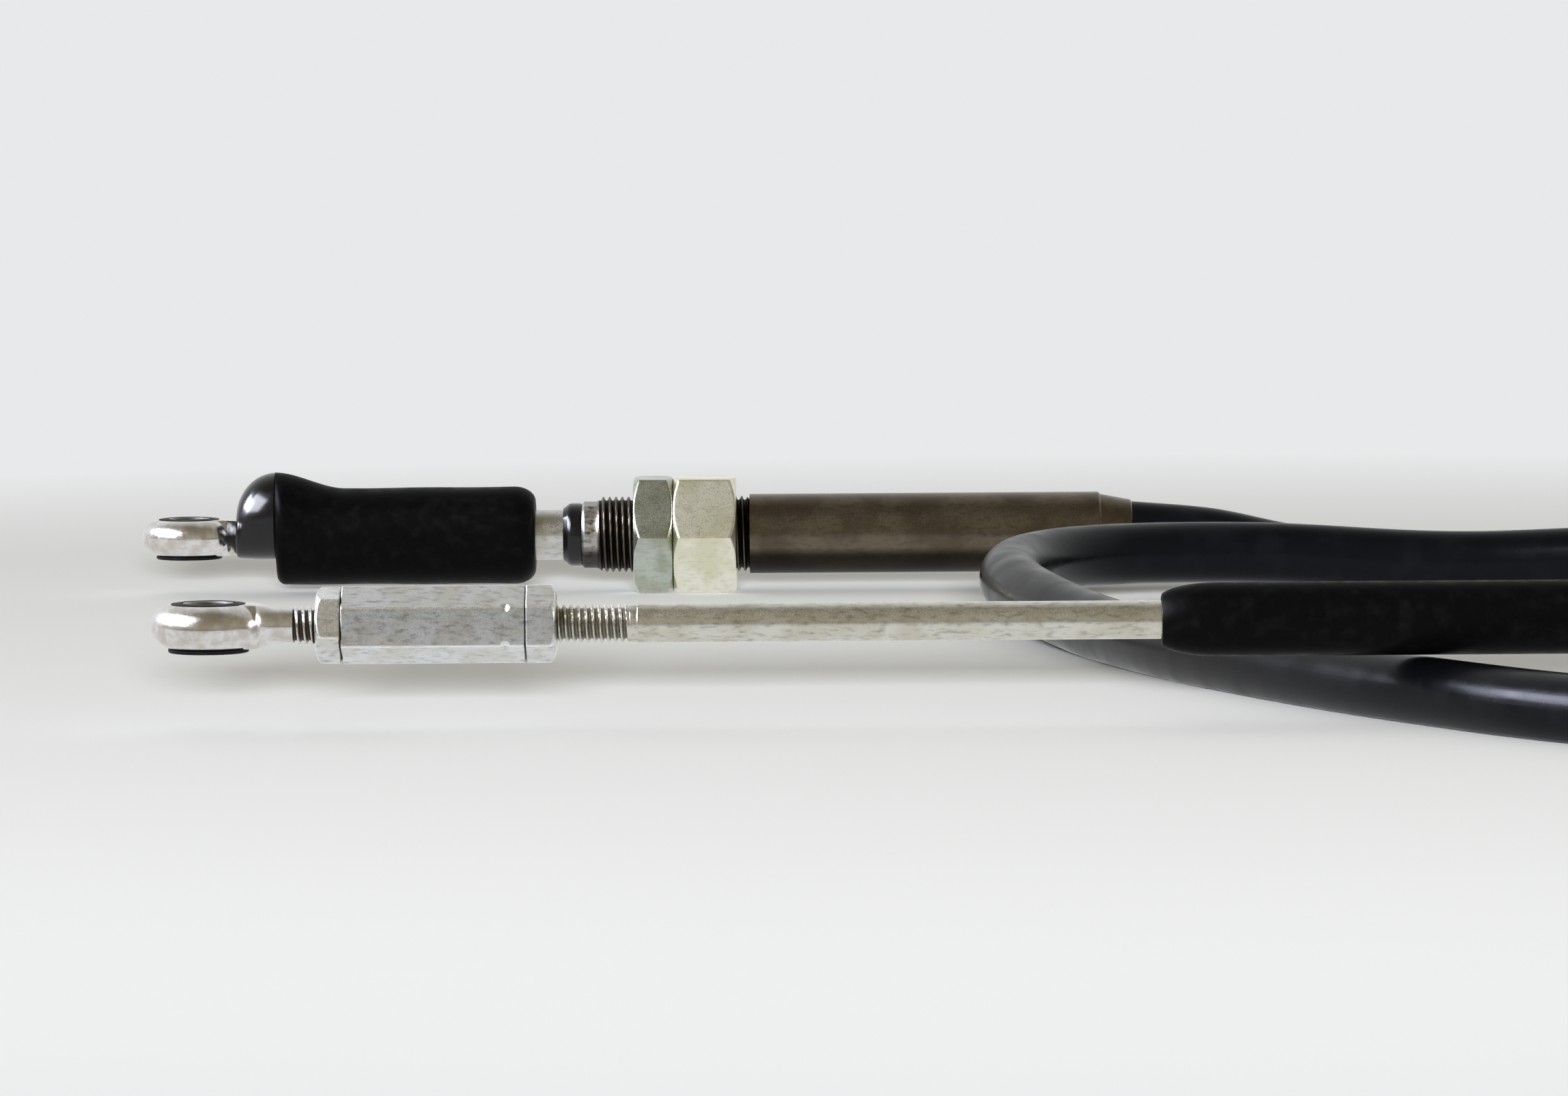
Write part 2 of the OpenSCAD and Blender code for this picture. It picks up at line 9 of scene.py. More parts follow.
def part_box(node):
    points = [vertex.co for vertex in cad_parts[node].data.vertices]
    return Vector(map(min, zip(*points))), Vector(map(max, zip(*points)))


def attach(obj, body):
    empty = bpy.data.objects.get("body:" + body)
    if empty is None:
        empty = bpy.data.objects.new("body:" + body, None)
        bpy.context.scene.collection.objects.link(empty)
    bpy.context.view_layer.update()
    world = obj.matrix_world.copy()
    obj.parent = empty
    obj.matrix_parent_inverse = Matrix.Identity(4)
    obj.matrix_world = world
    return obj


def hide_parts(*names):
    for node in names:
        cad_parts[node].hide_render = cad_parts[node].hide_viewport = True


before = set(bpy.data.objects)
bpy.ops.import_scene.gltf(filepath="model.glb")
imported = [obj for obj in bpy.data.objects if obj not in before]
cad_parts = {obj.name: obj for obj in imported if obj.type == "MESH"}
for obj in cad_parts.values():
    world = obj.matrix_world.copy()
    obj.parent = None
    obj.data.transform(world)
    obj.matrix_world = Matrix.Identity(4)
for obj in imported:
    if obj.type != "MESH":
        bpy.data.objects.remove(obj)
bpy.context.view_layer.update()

# A push-pull control cable on a pale table. Lengths in the dictionaries are millimetres, and mm
# turns them to metres. X runs along both ends, Y goes away from the camera, Z is up.
mm = 0.001
fullTurn = 2 * math.pi


def span(node):
    # Start and end of a node along X, and the Y and Z of its middle, in millimetres
    low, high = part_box(node)
    return low.x / mm, high.x / mm, (low.y + high.y) / 2 / mm, (low.z + high.z) / 2 / mm


def smoothStep(low, high, value):
    # 0 below low, 1 above high, and 3t^2 - 2t^3 between them
    t = np.clip((value - low) / (high - low), 0, 1)
    return t * t * (3 - 2 * t)


def quarterRound(t):
    # Rises from 0 to 1 as sqrt(1 - (1 - t)^2) and stays there
    return np.sqrt(1 - (1 - np.clip(t, 0, 1)) ** 2)


def steps(*stops):
    # Stations from one stop to the next, each leg given as (end, spacing) after the start
    line = [np.array([stops[0]], float)]
    for end, spacing in stops[1:]:
        count = max(1, int(math.ceil(abs(end - line[-1][-1]) / spacing)))
        line.append(np.linspace(line[-1][-1], end, count + 1)[1:])
    return np.concatenate(line)


def sceneObject(name, data):
    # A new object in the scene
    item = bpy.data.objects.new(name, data)
    bpy.context.scene.collection.objects.link(item)
    return item


def meshObject(name, points, faces, sharpAngle=32, uv=None, **shades):
    # Each shade is one value per point, such as how deep it lies in a thread, for the materials
    mesh = bpy.data.meshes.new(name)
    mesh.from_pydata(points * mm, [], faces)
    mesh.update()
    for shade, values in shades.items():
        layer = mesh.attributes.new(shade, "FLOAT", "POINT")
        layer.data.foreach_set("value", np.asarray(values, np.float32).ravel())
    if uv is not None:
        layer = mesh.uv_layers.new(name="along")
        layer.data.foreach_set("uv", uv.astype(np.float32).ravel())
    mesh.shade_smooth()
    mesh.set_sharp_from_angle(angle=math.radians(sharpAngle))
    return sceneObject(name, mesh)


def ringFaces(rings, sides, looped):
    # Quads between ring i and ring i + 1, wound so that they face away from the axis
    i, j = np.meshgrid(np.arange(rings if looped else rings - 1), np.arange(sides), indexing="ij")
    after = (i + 1) % rings
    beside = (j + 1) % sides
    corners = [i * sides + j, i * sides + beside, after * sides + beside, after * sides + j]
    return np.stack([c.ravel() for c in corners], axis=1)


def turnAngles(sides):
    # Angles of the sides round an axis, in radians
    return np.arange(sides) * fullTurn / sides


def turnedPart(along, radius, sides=96, centre=(0, 0, 0), axis="x", bored=False):
    # Surface of revolution with a free wall: at station a and angle t it stands r(a, t) from the
    # axis. A bored part's profile is a closed loop, and a plain one is closed by flat ends.
    angle = turnAngles(sides)
    radius = np.broadcast_to(np.asarray(radius, float).reshape(len(along), -1), (len(along), sides))
    a = np.repeat(along[:, None], sides, axis=1)
    across, up = radius * np.cos(angle), radius * np.sin(angle)
    grid = np.stack([a, across, up] if axis == "x" else [across, up, a], axis=2)
    points = grid.reshape(-1, 3) + np.array(centre, float)
    faces = ringFaces(len(along), sides, bored).tolist()
    if not bored:
        faces.append(list(range(sides))[::-1])
        faces.append([(len(along) - 1) * sides + j for j in range(sides)])
    return points, faces


def joined(*parts):
    # Several point and face lists as one
    points, faces, first = [], [], 0
    for partPoints, partFaces in parts:
        points.append(partPoints)
        faces += [[index + first for index in face] for face in partFaces]
        first += len(partPoints)
    return np.concatenate(points), faces


def profile(corners, spacing=0.4):
    # Stations and radii along straight lines between [station, radius] corners
    corners = np.array(corners, float)
    line = [corners[:1]]
    for start, end in zip(corners[:-1], corners[1:]):
        count = max(1, int(np.linalg.norm(end - start) / spacing))
        share = np.linspace(0, 1, count + 1)[1:, None]
        line.append(start + (end - start) * share)
    line = np.concatenate(line)
    return line[:, 0], line[:, 1]


def arc(centre, radius, start, end, count=8):
    # Points [station, radius] on a quarter round, angles in degrees from the station axis
    angle = np.radians(np.linspace(start, end, count))
    return [[centre[0] + radius * math.cos(a), centre[1] + radius * math.sin(a)] for a in angle]


def threadDrop(along, angle, pitch, depth):
    # How far a screw thread lies under its crests: a triangle wave of along / pitch minus the
    # share of the turn, cut flat at crest and root and softened as rolling leaves it
    phase = (along[:, None] / pitch - angle[None, :] / fullTurn) % 1
    return depth * smoothStep(0.1, 0.78, np.abs(2 * phase - 1))


def hexRadius(angle, acrossFlats, turn, sharpness):
    # Hexagon with soft corners: half the width over the p-norm of the six flats' cosines
    flats = np.radians(turn + 60 * np.arange(6))
    cosines = np.clip(np.cos(angle[:, None] - flats[None, :]), 0, None)
    return acrossFlats / 2 / (cosines ** sharpness).sum(axis=1) ** (1 / sharpness)


def softMin(a, b, sharpness):
    # The smaller of two radii, with the edge where they cross rounded off
    return (a ** -float(sharpness) + b ** -float(sharpness)) ** (-1 / sharpness)


def place(piece, body, *nodes):
    # The piece rides on its body and stands for the nodes
    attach(piece, body)
    if nodes:
        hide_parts(*nodes)
    return piece


def dress(piece, material):
    # One material all over
    piece.data.materials.clear()
    piece.data.materials.append(material)
    return piece


view = {
    "place": (0.11812, -1.6, 0.12733),  # metres
    "pitchDown": 4.008,  # degrees
    "roll": -0.393,
    "lens": 179.72,
    "sensor": 36,
}
camera = sceneObject("camera", bpy.data.cameras.new("camera"))
camera.data.lens = view["lens"]
camera.data.sensor_width = view["sensor"]
tilt = Matrix.Rotation(math.radians(90 - view["pitchDown"]), 4, "X")
roll = Matrix.Rotation(math.radians(view["roll"]), 4, "Z")
camera.matrix_world = Matrix.Translation(view["place"]) @ tilt @ roll
bpy.context.scene.camera = camera
bpy.context.scene.view_settings.view_transform = "Standard"
print("camera set")


conduit = {
    "diameter": 15,
    "sides": 48,
    "perLeg": 22,  # rings between two route points
    # X, Y and the height of the centreline above the table between the ferrules, in metres
    "route": [
        (0.226, 0.372, 0.0124), (0.248, 0.3715, 0.008), (0.276, 0.37, 0.0061),
        (0.322, 0.362, 0.006), (0.364, 0.343, 0.006), (0.397, 0.314, 0.006), (0.418, 0.277, 0.006),
        (0.43, 0.232, 0.006), (0.436, 0.17, 0.006), (0.437, 0.085, 0.006), (0.431, 0.0, 0.006),
        (0.42, -0.044, 0.006), (0.394, -0.079, 0.006), (0.353, -0.095, 0.006), (0.312, -0.084, 0.006),
        (0.276, -0.045, 0.006), (0.249, 0.0, 0.006), (0.227, 0.047, 0.006), (0.206, 0.103, 0.006),
        (0.19, 0.16, 0.0065), (0.177, 0.212, 0.009), (0.172, 0.255, 0.011), (0.178, 0.292, 0.012),
        (0.199, 0.321, 0.012), (0.237, 0.338, 0.011), (0.29, 0.338, 0.0085), (0.352, 0.319, 0.013),
        (0.384, 0.304, 0.019), (0.411, 0.29, 0.0213), (0.447, 0.271, 0.019), (0.488, 0.242, 0.011),
        (0.524, 0.202, 0.006), (0.546, 0.154, 0.006), (0.549, 0.104, 0.0065), (0.533, 0.057, 0.0105),
        (0.5, 0.018, 0.017), (0.463, 0.002, 0.0208), (0.431, 0.0, 0.0213),
    ],
}


def smoothPath(points, perLeg):
    # Catmull-Rom curve: each leg is the cubic through its ends with slopes (next - previous) / 2
    padded = np.concatenate([points[:1], points, points[-1:]])
    t = np.linspace(0, 1, perLeg, endpoint=False)[None, :, None]
    p0, p1, p2, p3 = (padded[k:len(padded) - 3 + k][:, None, :] for k in range(4))
    bend = 2 * p0 - 5 * p1 + 4 * p2 - p3
    turn = 3 * p1 - p0 - 3 * p2 + p3
    curve = (2 * p1 + (p2 - p0) * t + bend * t ** 2 + turn * t ** 3) / 2
    return np.concatenate([curve.reshape(-1, 3), points[-1:]])


def conduitPiece():
    # A circle carried along the route: centre + r (cos a * side + sin a * up), kept above the table
    rearEnd, frontEnd = (np.array([span(node)[1:]]) * mm for node in ("rear_ferrule", "front_ferrule"))
    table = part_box("conduit")[0].z
    route = np.concatenate([rearEnd, np.array(conduit["route"]) + np.array([0, 0, table]), frontEnd])
    line = smoothPath(route, conduit["perLeg"])
    heading = np.gradient(line, axis=0)
    heading[0], heading[-1] = (1, 0, 0), (-1, 0, 0)
    heading /= np.linalg.norm(heading, axis=1)[:, None]
    side = np.cross(heading, (0, 0, 1))
    side /= np.linalg.norm(side, axis=1)[:, None]
    up = np.cross(side, heading)
    sides = conduit["sides"]
    angle = turnAngles(sides) - math.pi / 2
    r = conduit["diameter"] / 2 * mm
    sideways, upwards = np.cos(angle)[None, :, None], np.sin(angle)[None, :, None]
    wall = sideways * side[:, None, :] + upwards * up[:, None, :]
    points = line[:, None, :] + r * wall
    points[..., 2] = np.maximum(points[..., 2], table)
    rings = len(line)
    faces = ringFaces(rings, sides, False)[:, ::-1].tolist()
    faces.append(list(range(sides)))
    faces.append([(rings - 1) * sides + j for j in range(sides)][::-1])
    legs = np.linalg.norm(np.diff(line, axis=0), axis=1)
    run = np.concatenate([[0], np.cumsum(legs)])
    grid = np.meshgrid(np.arange(rings - 1), np.arange(sides), indexing="ij")
    row, column = (index.ravel() for index in grid)
    u = np.stack([run[row + 1], run[row + 1], run[row], run[row]], axis=1)
    v = np.stack([column, column + 1, column + 1, column], axis=1) / sides
    uv = np.concatenate([np.stack([u, v], axis=2).reshape(-1, 2), np.zeros((2 * sides, 2))])
    piece = meshObject("conduitJacket", points.reshape(-1, 3) / mm, faces, 60, uv)
    place(piece, "housing", "conduit")
    return piece


conduitJacket = conduitPiece()
print("conduit laid")


rodLook = {
    "diameter": 7.94,
    "sides": 96,
    "pitch": 1.41,
    "threadDepth": 0.87,
    "threadShows": 13.7,
    "fadeIn": 0.5,  # the thread starts so far inside the nut
    "fade": (-0.8, 1.2),  # and it fades between these, from its last full turn
    "runOut": 2.3,
    "bandDrop": 0.14,  # the run-out band lies this far under the plain rod
    "bandGap": 0.4,
    "bandEdge": 0.12,
    # the thread's roots go darker with depth, partly dirt and partly painted shade, and so far past the
    # thread
    "threadDirtAndShade": 0.75,
    "grimeReach": 2,
    "chamfer": 0.8,
    "forgingLength": 28,  # the rear eye's forging, from its far rim to the plain bar
    "jointDrop": 0.8,  # the bar's start is turned down inside the forging
    "jointStep": (-0.3, -0.18),
}
eyeLook = {
    "cut": 16,  # the front forging ends here and the shank piece goes on
    "shankStart": 14.5,
    "shankRadius": 3.65,
    "threadStart": 17.4,
    "threadCone": 0.35,  # the first turns rise out of a cone that starts this far under the shank
    "threadConeSlope": 1.2,
    "threadConeLead": 0.1,
    "threadRoot": 3.1,
    "voxel": 0.22,
    "relaxing": 6,
}


def frontRodPiece():
    # r(x, t) = rod radius - thread drop * fade - band drop, with chamfered ends
    look = rodLook
    x0, x1, y, z = span("front_rod")
    threadStart = span("front_rod_nut")[0]
    threadEnd = span("front_rod_nut")[1] + look["threadShows"]
    groove = threadEnd + look["runOut"] + look["bandGap"]
    x = steps(x0, (x0 + 2, 0.2), (threadStart, 1.5), (groove + 0.4, 0.09), (x1 - 2, 2.5), (x1, 0.2))
    angle = turnAngles(look["sides"])
    r = look["diameter"] / 2
    turn = x[:, None] - angle[None, :] / fullTurn * look["pitch"]
    fadeStart, fadeEnd = (threadEnd + d for d in look["fade"])
    fade = smoothStep(threadStart - look["fadeIn"], threadStart, x)[:, None] * (
        1 - smoothStep(fadeStart, fadeEnd, turn))
    band = smoothStep(threadEnd - 1, threadEnd, x) * (
        1 - smoothStep(groove, groove + look["bandEdge"], x))
    wall = r - threadDrop(x, angle, look["pitch"], look["threadDepth"]) * fade
    wall = np.minimum(wall, (r - look["bandDrop"] * band)[:, None])
    end = np.minimum(x - x0, x1 - x)
    wall = np.minimum(wall, (r - np.clip(look["chamfer"] - end, 0, None))[:, None])
    # Darker with depth in the thread: dirt in the roots, and painted shade there too
    shown = (x > threadStart) & (x < threadEnd + look["grimeReach"])
    deep = np.where(shown[:, None], (r - wall) / look["threadDepth"], 0)
    part = turnedPart(x, wall, look["sides"], (0, y, z))
    piece = meshObject("frontRodBar", *part, grime=deep * look["threadDirtAndShade"])
    return place(piece, "front_rod_end", "front_rod")


def eyeThreadPiece():
    # Shank and thread of the front eye: r(x, t) = shank radius, then the crest less the thread drop
    x0, x1 = eyeLook["shankStart"], span("front_eye")[1]
    threadStart, shank = eyeLook["threadStart"], eyeLook["shankRadius"]
    intoNut = span("front_eye_nut")[0] + 1
    x = steps(x0, (threadStart - 0.3, 0.5), (intoNut, 0.07), (x1 - 1, 1.2), (x1, 0.2))
    angle = turnAngles(rodLook["sides"])
    crest = rodLook["diameter"] / 2
    threaded = crest - threadDrop(x, angle, rodLook["pitch"], rodLook["threadDepth"])
    coneRun = x - threadStart + eyeLook["threadConeLead"]
    cone = shank - eyeLook["threadCone"] + coneRun * eyeLook["threadConeSlope"]
    rising = np.minimum(threaded, np.maximum(cone, eyeLook["threadRoot"])[:, None])
    wall = np.where((x < threadStart)[:, None], shank, rising)
    wall = np.minimum(wall, (crest - np.clip(rodLook["chamfer"] - (x1 - x), 0, None))[:, None])
    # Darker with depth in the thread: dirt in the roots, and painted shade there too
    deep = np.where((x > threadStart)[:, None], (crest - wall) / rodLook["threadDepth"], 0)
    piece = meshObject("frontEyeThread", *turnedPart(x, wall, rodLook["sides"]), grime=deep)
    return place(piece, "front_rod_end")


def forgedCopy(name, body, node, cutAt):
    # The node's own solid, merged, cut off square at cutAt, remeshed and relaxed to forged softness
    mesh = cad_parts[node].data.copy()
    mesh.name = name
    form = bmesh.new()
    form.from_mesh(mesh)
    bmesh.ops.remove_doubles(form, verts=form.verts, dist=1e-6)
    every = form.verts[:] + form.edges[:] + form.faces[:]
    cut = bmesh.ops.bisect_plane(form, geom=every, plane_co=(cutAt * mm, 0, 0), plane_no=(1, 0, 0),
                                 clear_outer=True)
    edges = [e for e in cut["geom_cut"] if isinstance(e, bmesh.types.BMEdge)]
    bmesh.ops.holes_fill(form, edges=edges)
    form.to_mesh(mesh)
    form.free()
    piece = sceneObject(name, mesh)
    remesh = piece.modifiers.new("remesh", "REMESH")
    remesh.mode = "VOXEL"
    remesh.voxel_size = eyeLook["voxel"] * mm
    relax = piece.modifiers.new("relax", "SMOOTH")
    relax.factor = 0.5
    relax.iterations = eyeLook["relaxing"]
    finished = bpy.data.meshes.new_from_object(
        piece.evaluated_get(bpy.context.evaluated_depsgraph_get()))
    piece.modifiers.clear()
    piece.data = finished
    finished.name = name
    finished.shade_smooth()
    return place(piece, body, node)


def rearRodPiece():
    # Straight bar from the end of the rear eye's forging on, r = rod radius with a chamfer at the
    # inner end; its start is turned down and sits inside the forging
    x0, x1, y, z = span("rear_rod")
    joint = x0 + rodLook["forgingLength"]
    x = steps(joint - 1.5, (joint - 0.3, 0.4), (joint + 0.1, 0.04), (x1 - 2, 2.5), (x1, 0.2))
    r = rodLook["diameter"] / 2
    stepStart, stepEnd = (joint + d for d in rodLook["jointStep"])
    turnedDown = rodLook["jointDrop"] * (1 - smoothStep(stepStart, stepEnd, x))
    wall = r - np.clip(rodLook["chamfer"] - (x1 - x), 0, None) - turnedDown
    piece = meshObject("rearRodBar", *turnedPart(x, wall, rodLook["sides"], (0, y, z)))
    return place(piece, "rear_rod_end")


frontRodBar = frontRodPiece()
frontEyeThread = eyeThreadPiece()
frontEyeForging = forgedCopy("frontEyeForging", "front_rod_end", "front_eye", eyeLook["cut"])
rearRodBar = rearRodPiece()
rearEyeForging = forgedCopy("rearEyeForging", "rear_rod_end", "rear_rod",
                            span("rear_rod")[0] + rodLook["forgingLength"])
print("rods and eyes made")


bushLook = {
    "flange": 16.6,
    "upperFlange": 15.3,
    "low": 5.38,  # the lower flange's face, below the eye's middle
    "high": 4.84,  # the upper flange, pressed nearly flat
    "rim": 4.63,
    "bore": 11.06,
    "edge": 0.4,
    "dishWidth": 0.9,  # moulded ring groove in the lower flange
    "dishDepth": 0.25,
    "barrel": 14.7,
    "seat": 4.56,
    "sides": 128,
}
pinSleeveLook = {"outside": 11, "bore": 8.2, "height": 9.5, "edge": 0.3}


def ringPiece(name, loop, spacing, centre, body, node):
    # A closed profile of [height, radius] corners turned about Z
    a, r = profile(loop, spacing)
    piece = meshObject(name, *turnedPart(a, r, bushLook["sides"], centre, "z", bored=True))
    return place(piece, body, node)


def bushPiece(name, centre, body, node):
    # Profile turned about Z: a full lower flange with a rounded rim and a moulded groove, the
    # barrel, and an upper flange that slopes evenly from the bore to its thin rim
    low, high, edge, seat = (bushLook[k] for k in ("low", "high", "edge", "seat"))
    rim, bore, barrel, upperRim = (bushLook[k] / 2 for k in ("flange", "bore", "barrel", "upperFlange"))
    r = np.linspace(bore, rim - edge, 20)
    dip = bushLook["dishDepth"] * np.exp(-((r - (bore + rim) / 2) / bushLook["dishWidth"] * 2) ** 2)
    lower = np.stack([-(low - dip), r], axis=1).tolist()
    lowerRim = [[-a, b] for a, b in arc((low - edge, rim - edge), edge, 0, 90)[1:]]
    upper = [[-seat, rim], [-seat, barrel], [seat, barrel], [seat, upperRim - 0.05],
             [bushLook["rim"], upperRim - 0.02], [high, bore + 0.5], [high, bore]]
    return ringPiece(name, lower + lowerRim + upper, 0.3, centre, body, node)


def pinSleevePiece(name, centre, body, node):
    # A tube turned about Z with rounded rims inside and out
    half, outside, bore = (pinSleeveLook[k] / 2 for k in ("height", "outside", "bore"))
    edge = pinSleeveLook["edge"]
    top = [[half - edge, bore], [half, bore + edge], [half, outside - edge], [half - edge, outside]]
    loop = [[-a, r] for a, r in top] + [[a, r] for a, r in top[::-1]]
    return ringPiece(name, loop, 0.4, centre, body, node)


rearLow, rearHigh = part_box("rear_pin_sleeve")
rearEyeCentre = (*((rearLow + rearHigh) / 2 / mm),)
frontBushRubber = bushPiece("frontBushRubber", (0, 0, 0), "front_rod_end", "front_bush")
rearBushRubber = bushPiece("rearBushRubber", rearEyeCentre, "rear_rod_end", "rear_bush")
frontPinSleeve = pinSleevePiece("frontPinSleeve", (0, 0, 0), "front_rod_end", "front_pin_sleeve")
rearPinSleeve = pinSleevePiece("rearPinSleeve", rearEyeCentre, "rear_rod_end", "rear_pin_sleeve")
print("bushes made")


adjusterLook = {
    "acrossFlats": 14,
    "sides": 480,
    "bore": 8.04,
    "cornerSharpness": 110,
    "eyeNutTurn": -16,
    "eyeNutRound": 2.4,  # length of the rounding on a nut's outer face
    "faceRadius": 4.9,
    "nutCover": 0.4,  # the turned covers stand this far past the corners
    "couplingCover": 0.5,
    "couplingInset": 0.1,
    "seatDrop": 1.15,  # rounding of a nut's inner face, and its length
    "seatRound": 0.6,
    "couplingRound": 0.8,
    "jointWidth": 0.42,  # rounding of each end that makes the dark line between nut and coupling
    "jointDepth": 0.34,
    "wornEdge": 0.4,
    "punchFromEnd": 4.1,
    "punchRadius": 0.95,
    "punchDepth": 0.55,
}


def hexCorner(acrossFlats):
    # Radius of a hexagon's corners: half the width over the cosine of 30 degrees
    return acrossFlats / 2 / math.cos(math.radians(30))


def boredHex(x, cover, turn, look, centre, dents=None):
    # Wall r(x, t) = soft minimum of the hexagon and the turned cover, less the dents, closed
    # through the bore
    sides, sharpness = look["sides"], look["cornerSharpness"]
    angle = turnAngles(sides)
    hexagon = hexRadius(angle, look["acrossFlats"], turn, sharpness)
    wall = softMin(np.repeat(hexagon[None, :], len(x), axis=0), cover[:, None], sharpness)
    if dents is not None:
        wall = wall - dents(x, angle)
    inner = np.full((1, sides), look["bore"] / 2)
    wall = np.concatenate([inner, wall, inner])
    x = np.pad(x, 1, mode="edge")
    return turnedPart(x, wall, sides, centre, bored=True)


def roundedFace(fromFace, faceRadius, cornerRadius, length):
    # Quarter ellipse from the face's radius out to the corner radius, over the given length
    return faceRadius + (cornerRadius - faceRadius) * quarterRound(fromFace / length)


def jointDrop(fromEnd):
    # Rounded end beside a joint: depth * (1 - d / width)^2 within the width, 0 beyond it
    return adjusterLook["jointDepth"] * np.clip(1 - fromEnd / adjusterLook["jointWidth"], 0, None) ** 2


def wornCorners(x, turn):
    # 1 on a hexagon's corners, falling to 0 within the worn width, and 0 on the closing rings
    sides = adjusterLook["sides"]
    away = np.abs((np.degrees(turnAngles(sides)) - turn) % 60 - 30)
    arcLength = np.radians(away) * hexCorner(adjusterLook["acrossFlats"])
    worn = 1 - smoothStep(0.3, 1, arcLength / adjusterLook["wornEdge"])
    return np.pad(np.repeat(worn[None, :], len(x), axis=0), ((1, 1), (0, 0)))


def jointGrime(fromEnd):
    # Dark dirt that gathers in the joint: 1 - d / width, and 0 on the closing rings
    darkening = np.clip(1 - fromEnd / adjusterLook["jointWidth"], 0, 1)
    return np.pad(np.repeat(darkening[:, None], adjusterLook["sides"], axis=1), ((1, 1), (0, 0)))


def lockNutPiece(name, node, turn, roundOnLeft):
    # Thin hex nut: rounded well back on its outer face and only broken on the face that is
    # tightened against the coupling
    x0, x1, y, z = span(node)
    look = adjusterLook
    x = steps(x0, (x0 + 0.5, 0.03), (x0 + 2.6, 0.1), (x1 - 2.6, 0.3), (x1 - 0.5, 0.1), (x1, 0.03))
    corner = hexCorner(look["acrossFlats"]) + look["nutCover"]
    fromRound, fromSeat = (x - x0, x1 - x) if roundOnLeft else (x1 - x, x - x0)
    cover = np.minimum(roundedFace(fromRound, look["faceRadius"], corner, look["eyeNutRound"]),
                       roundedFace(fromSeat, corner - look["seatDrop"], corner, look["seatRound"]))
    part = boredHex(x, cover, turn, look, (0, y, z), lambda x, angle: jointDrop(fromSeat)[:, None])
    piece = meshObject(name, *part, sharpAngle=40, wear=wornCorners(x, turn),
                       grime=jointGrime(fromSeat))
    return place(piece, "front_rod_end", node)


def punchDents(x, angle):
    # Two round dents on the corners beside the front flat: depth * (1 - (d / r)^2) where positive
    look = adjusterLook
    mark = span("front_coupling")[1] - look["punchFromEnd"]
    radius = hexCorner(look["acrossFlats"])
    total = np.zeros((len(x), len(angle)))
    for side in (-30, 30):
        away = (angle - math.radians(180 + side) + math.pi) % fullTurn - math.pi
        d2 = (x[:, None] - mark) ** 2 + (radius * away[None, :]) ** 2
        total += look["punchDepth"] * np.clip(1 - d2 / look["punchRadius"] ** 2, 0, None)
    return total


def couplingPiece():
    # Long hex bar, bored through: both ends rounded, less the joints' rounding and the two dents
    x0, x1, y, z = span("front_coupling")
    look = adjusterLook
    mark = x1 - look["punchFromEnd"]
    x = steps(x0, (x0 + 0.8, 0.05), (mark - 1.2, 0.6), (mark + 1.2, 0.1), (x1 - 0.8, 0.4), (x1, 0.05))
    corner = hexCorner(look["acrossFlats"]) + look["couplingCover"]
    end = np.minimum(x - x0, x1 - x)
    face = look["acrossFlats"] / 2 - look["couplingInset"]
    cover = roundedFace(end, face, corner, look["couplingRound"])
    part = boredHex(x, cover, 0, look, (0, y, z),
                    lambda x, angle: punchDents(x, angle) + jointDrop(end)[:, None])
    piece = meshObject("frontCouplingBar", *part, sharpAngle=40, wear=wornCorners(x, 0),
                       grime=jointGrime(end))
    return place(piece, "front_rod_end", "front_coupling")


eyeLockNut = lockNutPiece("eyeLockNut", "front_eye_nut", adjusterLook["eyeNutTurn"], True)
rodLockNut = lockNutPiece("rodLockNut", "front_rod_nut", 0, False)
frontCouplingBar = couplingPiece()
print("adjuster made")


sleeveLook = {
    "sides": 128,
    "mouth": 10.5,
    "body": 15.2,
    "taper": 12.2,
    "earlyRise": 0.35,  # 1 would be an even quarter sine, and less swells sooner
    "lipBore": 8.04,
    "tubeBore": 12.66,
    "lip": 3.6,
    "mouthEdge": 0.6,
    "mouthRim": 0.3,
    "endRound": 0.7,
}


def sleevePiece():
    # Profile turned about X: r rises as a quarter sine from the mouth to the body
    look = sleeveLook
    x0, x1, y, z = span("front_sleeve")
    mouth, body = look["mouth"] / 2, look["body"] / 2
    t = np.linspace(0, 1, 40)
    early = look["earlyRise"]
    rise = [[x0 + look["taper"] * s * (early + (1 - early) * s),
             mouth + (body - mouth) * math.sin(math.pi / 2 * s)] for s in t]
    edge, endRound = look["mouthEdge"], look["endRound"]
    lip = look["lipBore"] / 2
    tube = look["tubeBore"] / 2
    rim = [[x0 + edge, lip], [x0 + edge * 0.3, lip + edge * 0.3], [x0, lip + edge],
           [x0, mouth - look["mouthRim"]], [x0 + 0.1, mouth - 0.08]]
    end = [[x1 - endRound, body]] + arc((x1 - endRound, body - endRound), endRound, 90, 0)
    inner = [[x1, tube], [x0 + look["lip"], tube], [x0 + look["lip"], lip]]
    a, r = profile(rim + rise[1:] + end + inner, 0.9)
    part = turnedPart(a, r, look["sides"], (0, y, z), bored=True)
    return place(meshObject("frontSleeveRubber", *part, sharpAngle=45), "housing", "front_sleeve")


sealLook = {"seat": 6.33, "radius": 8.0, "length": 4.7, "sides": 96}


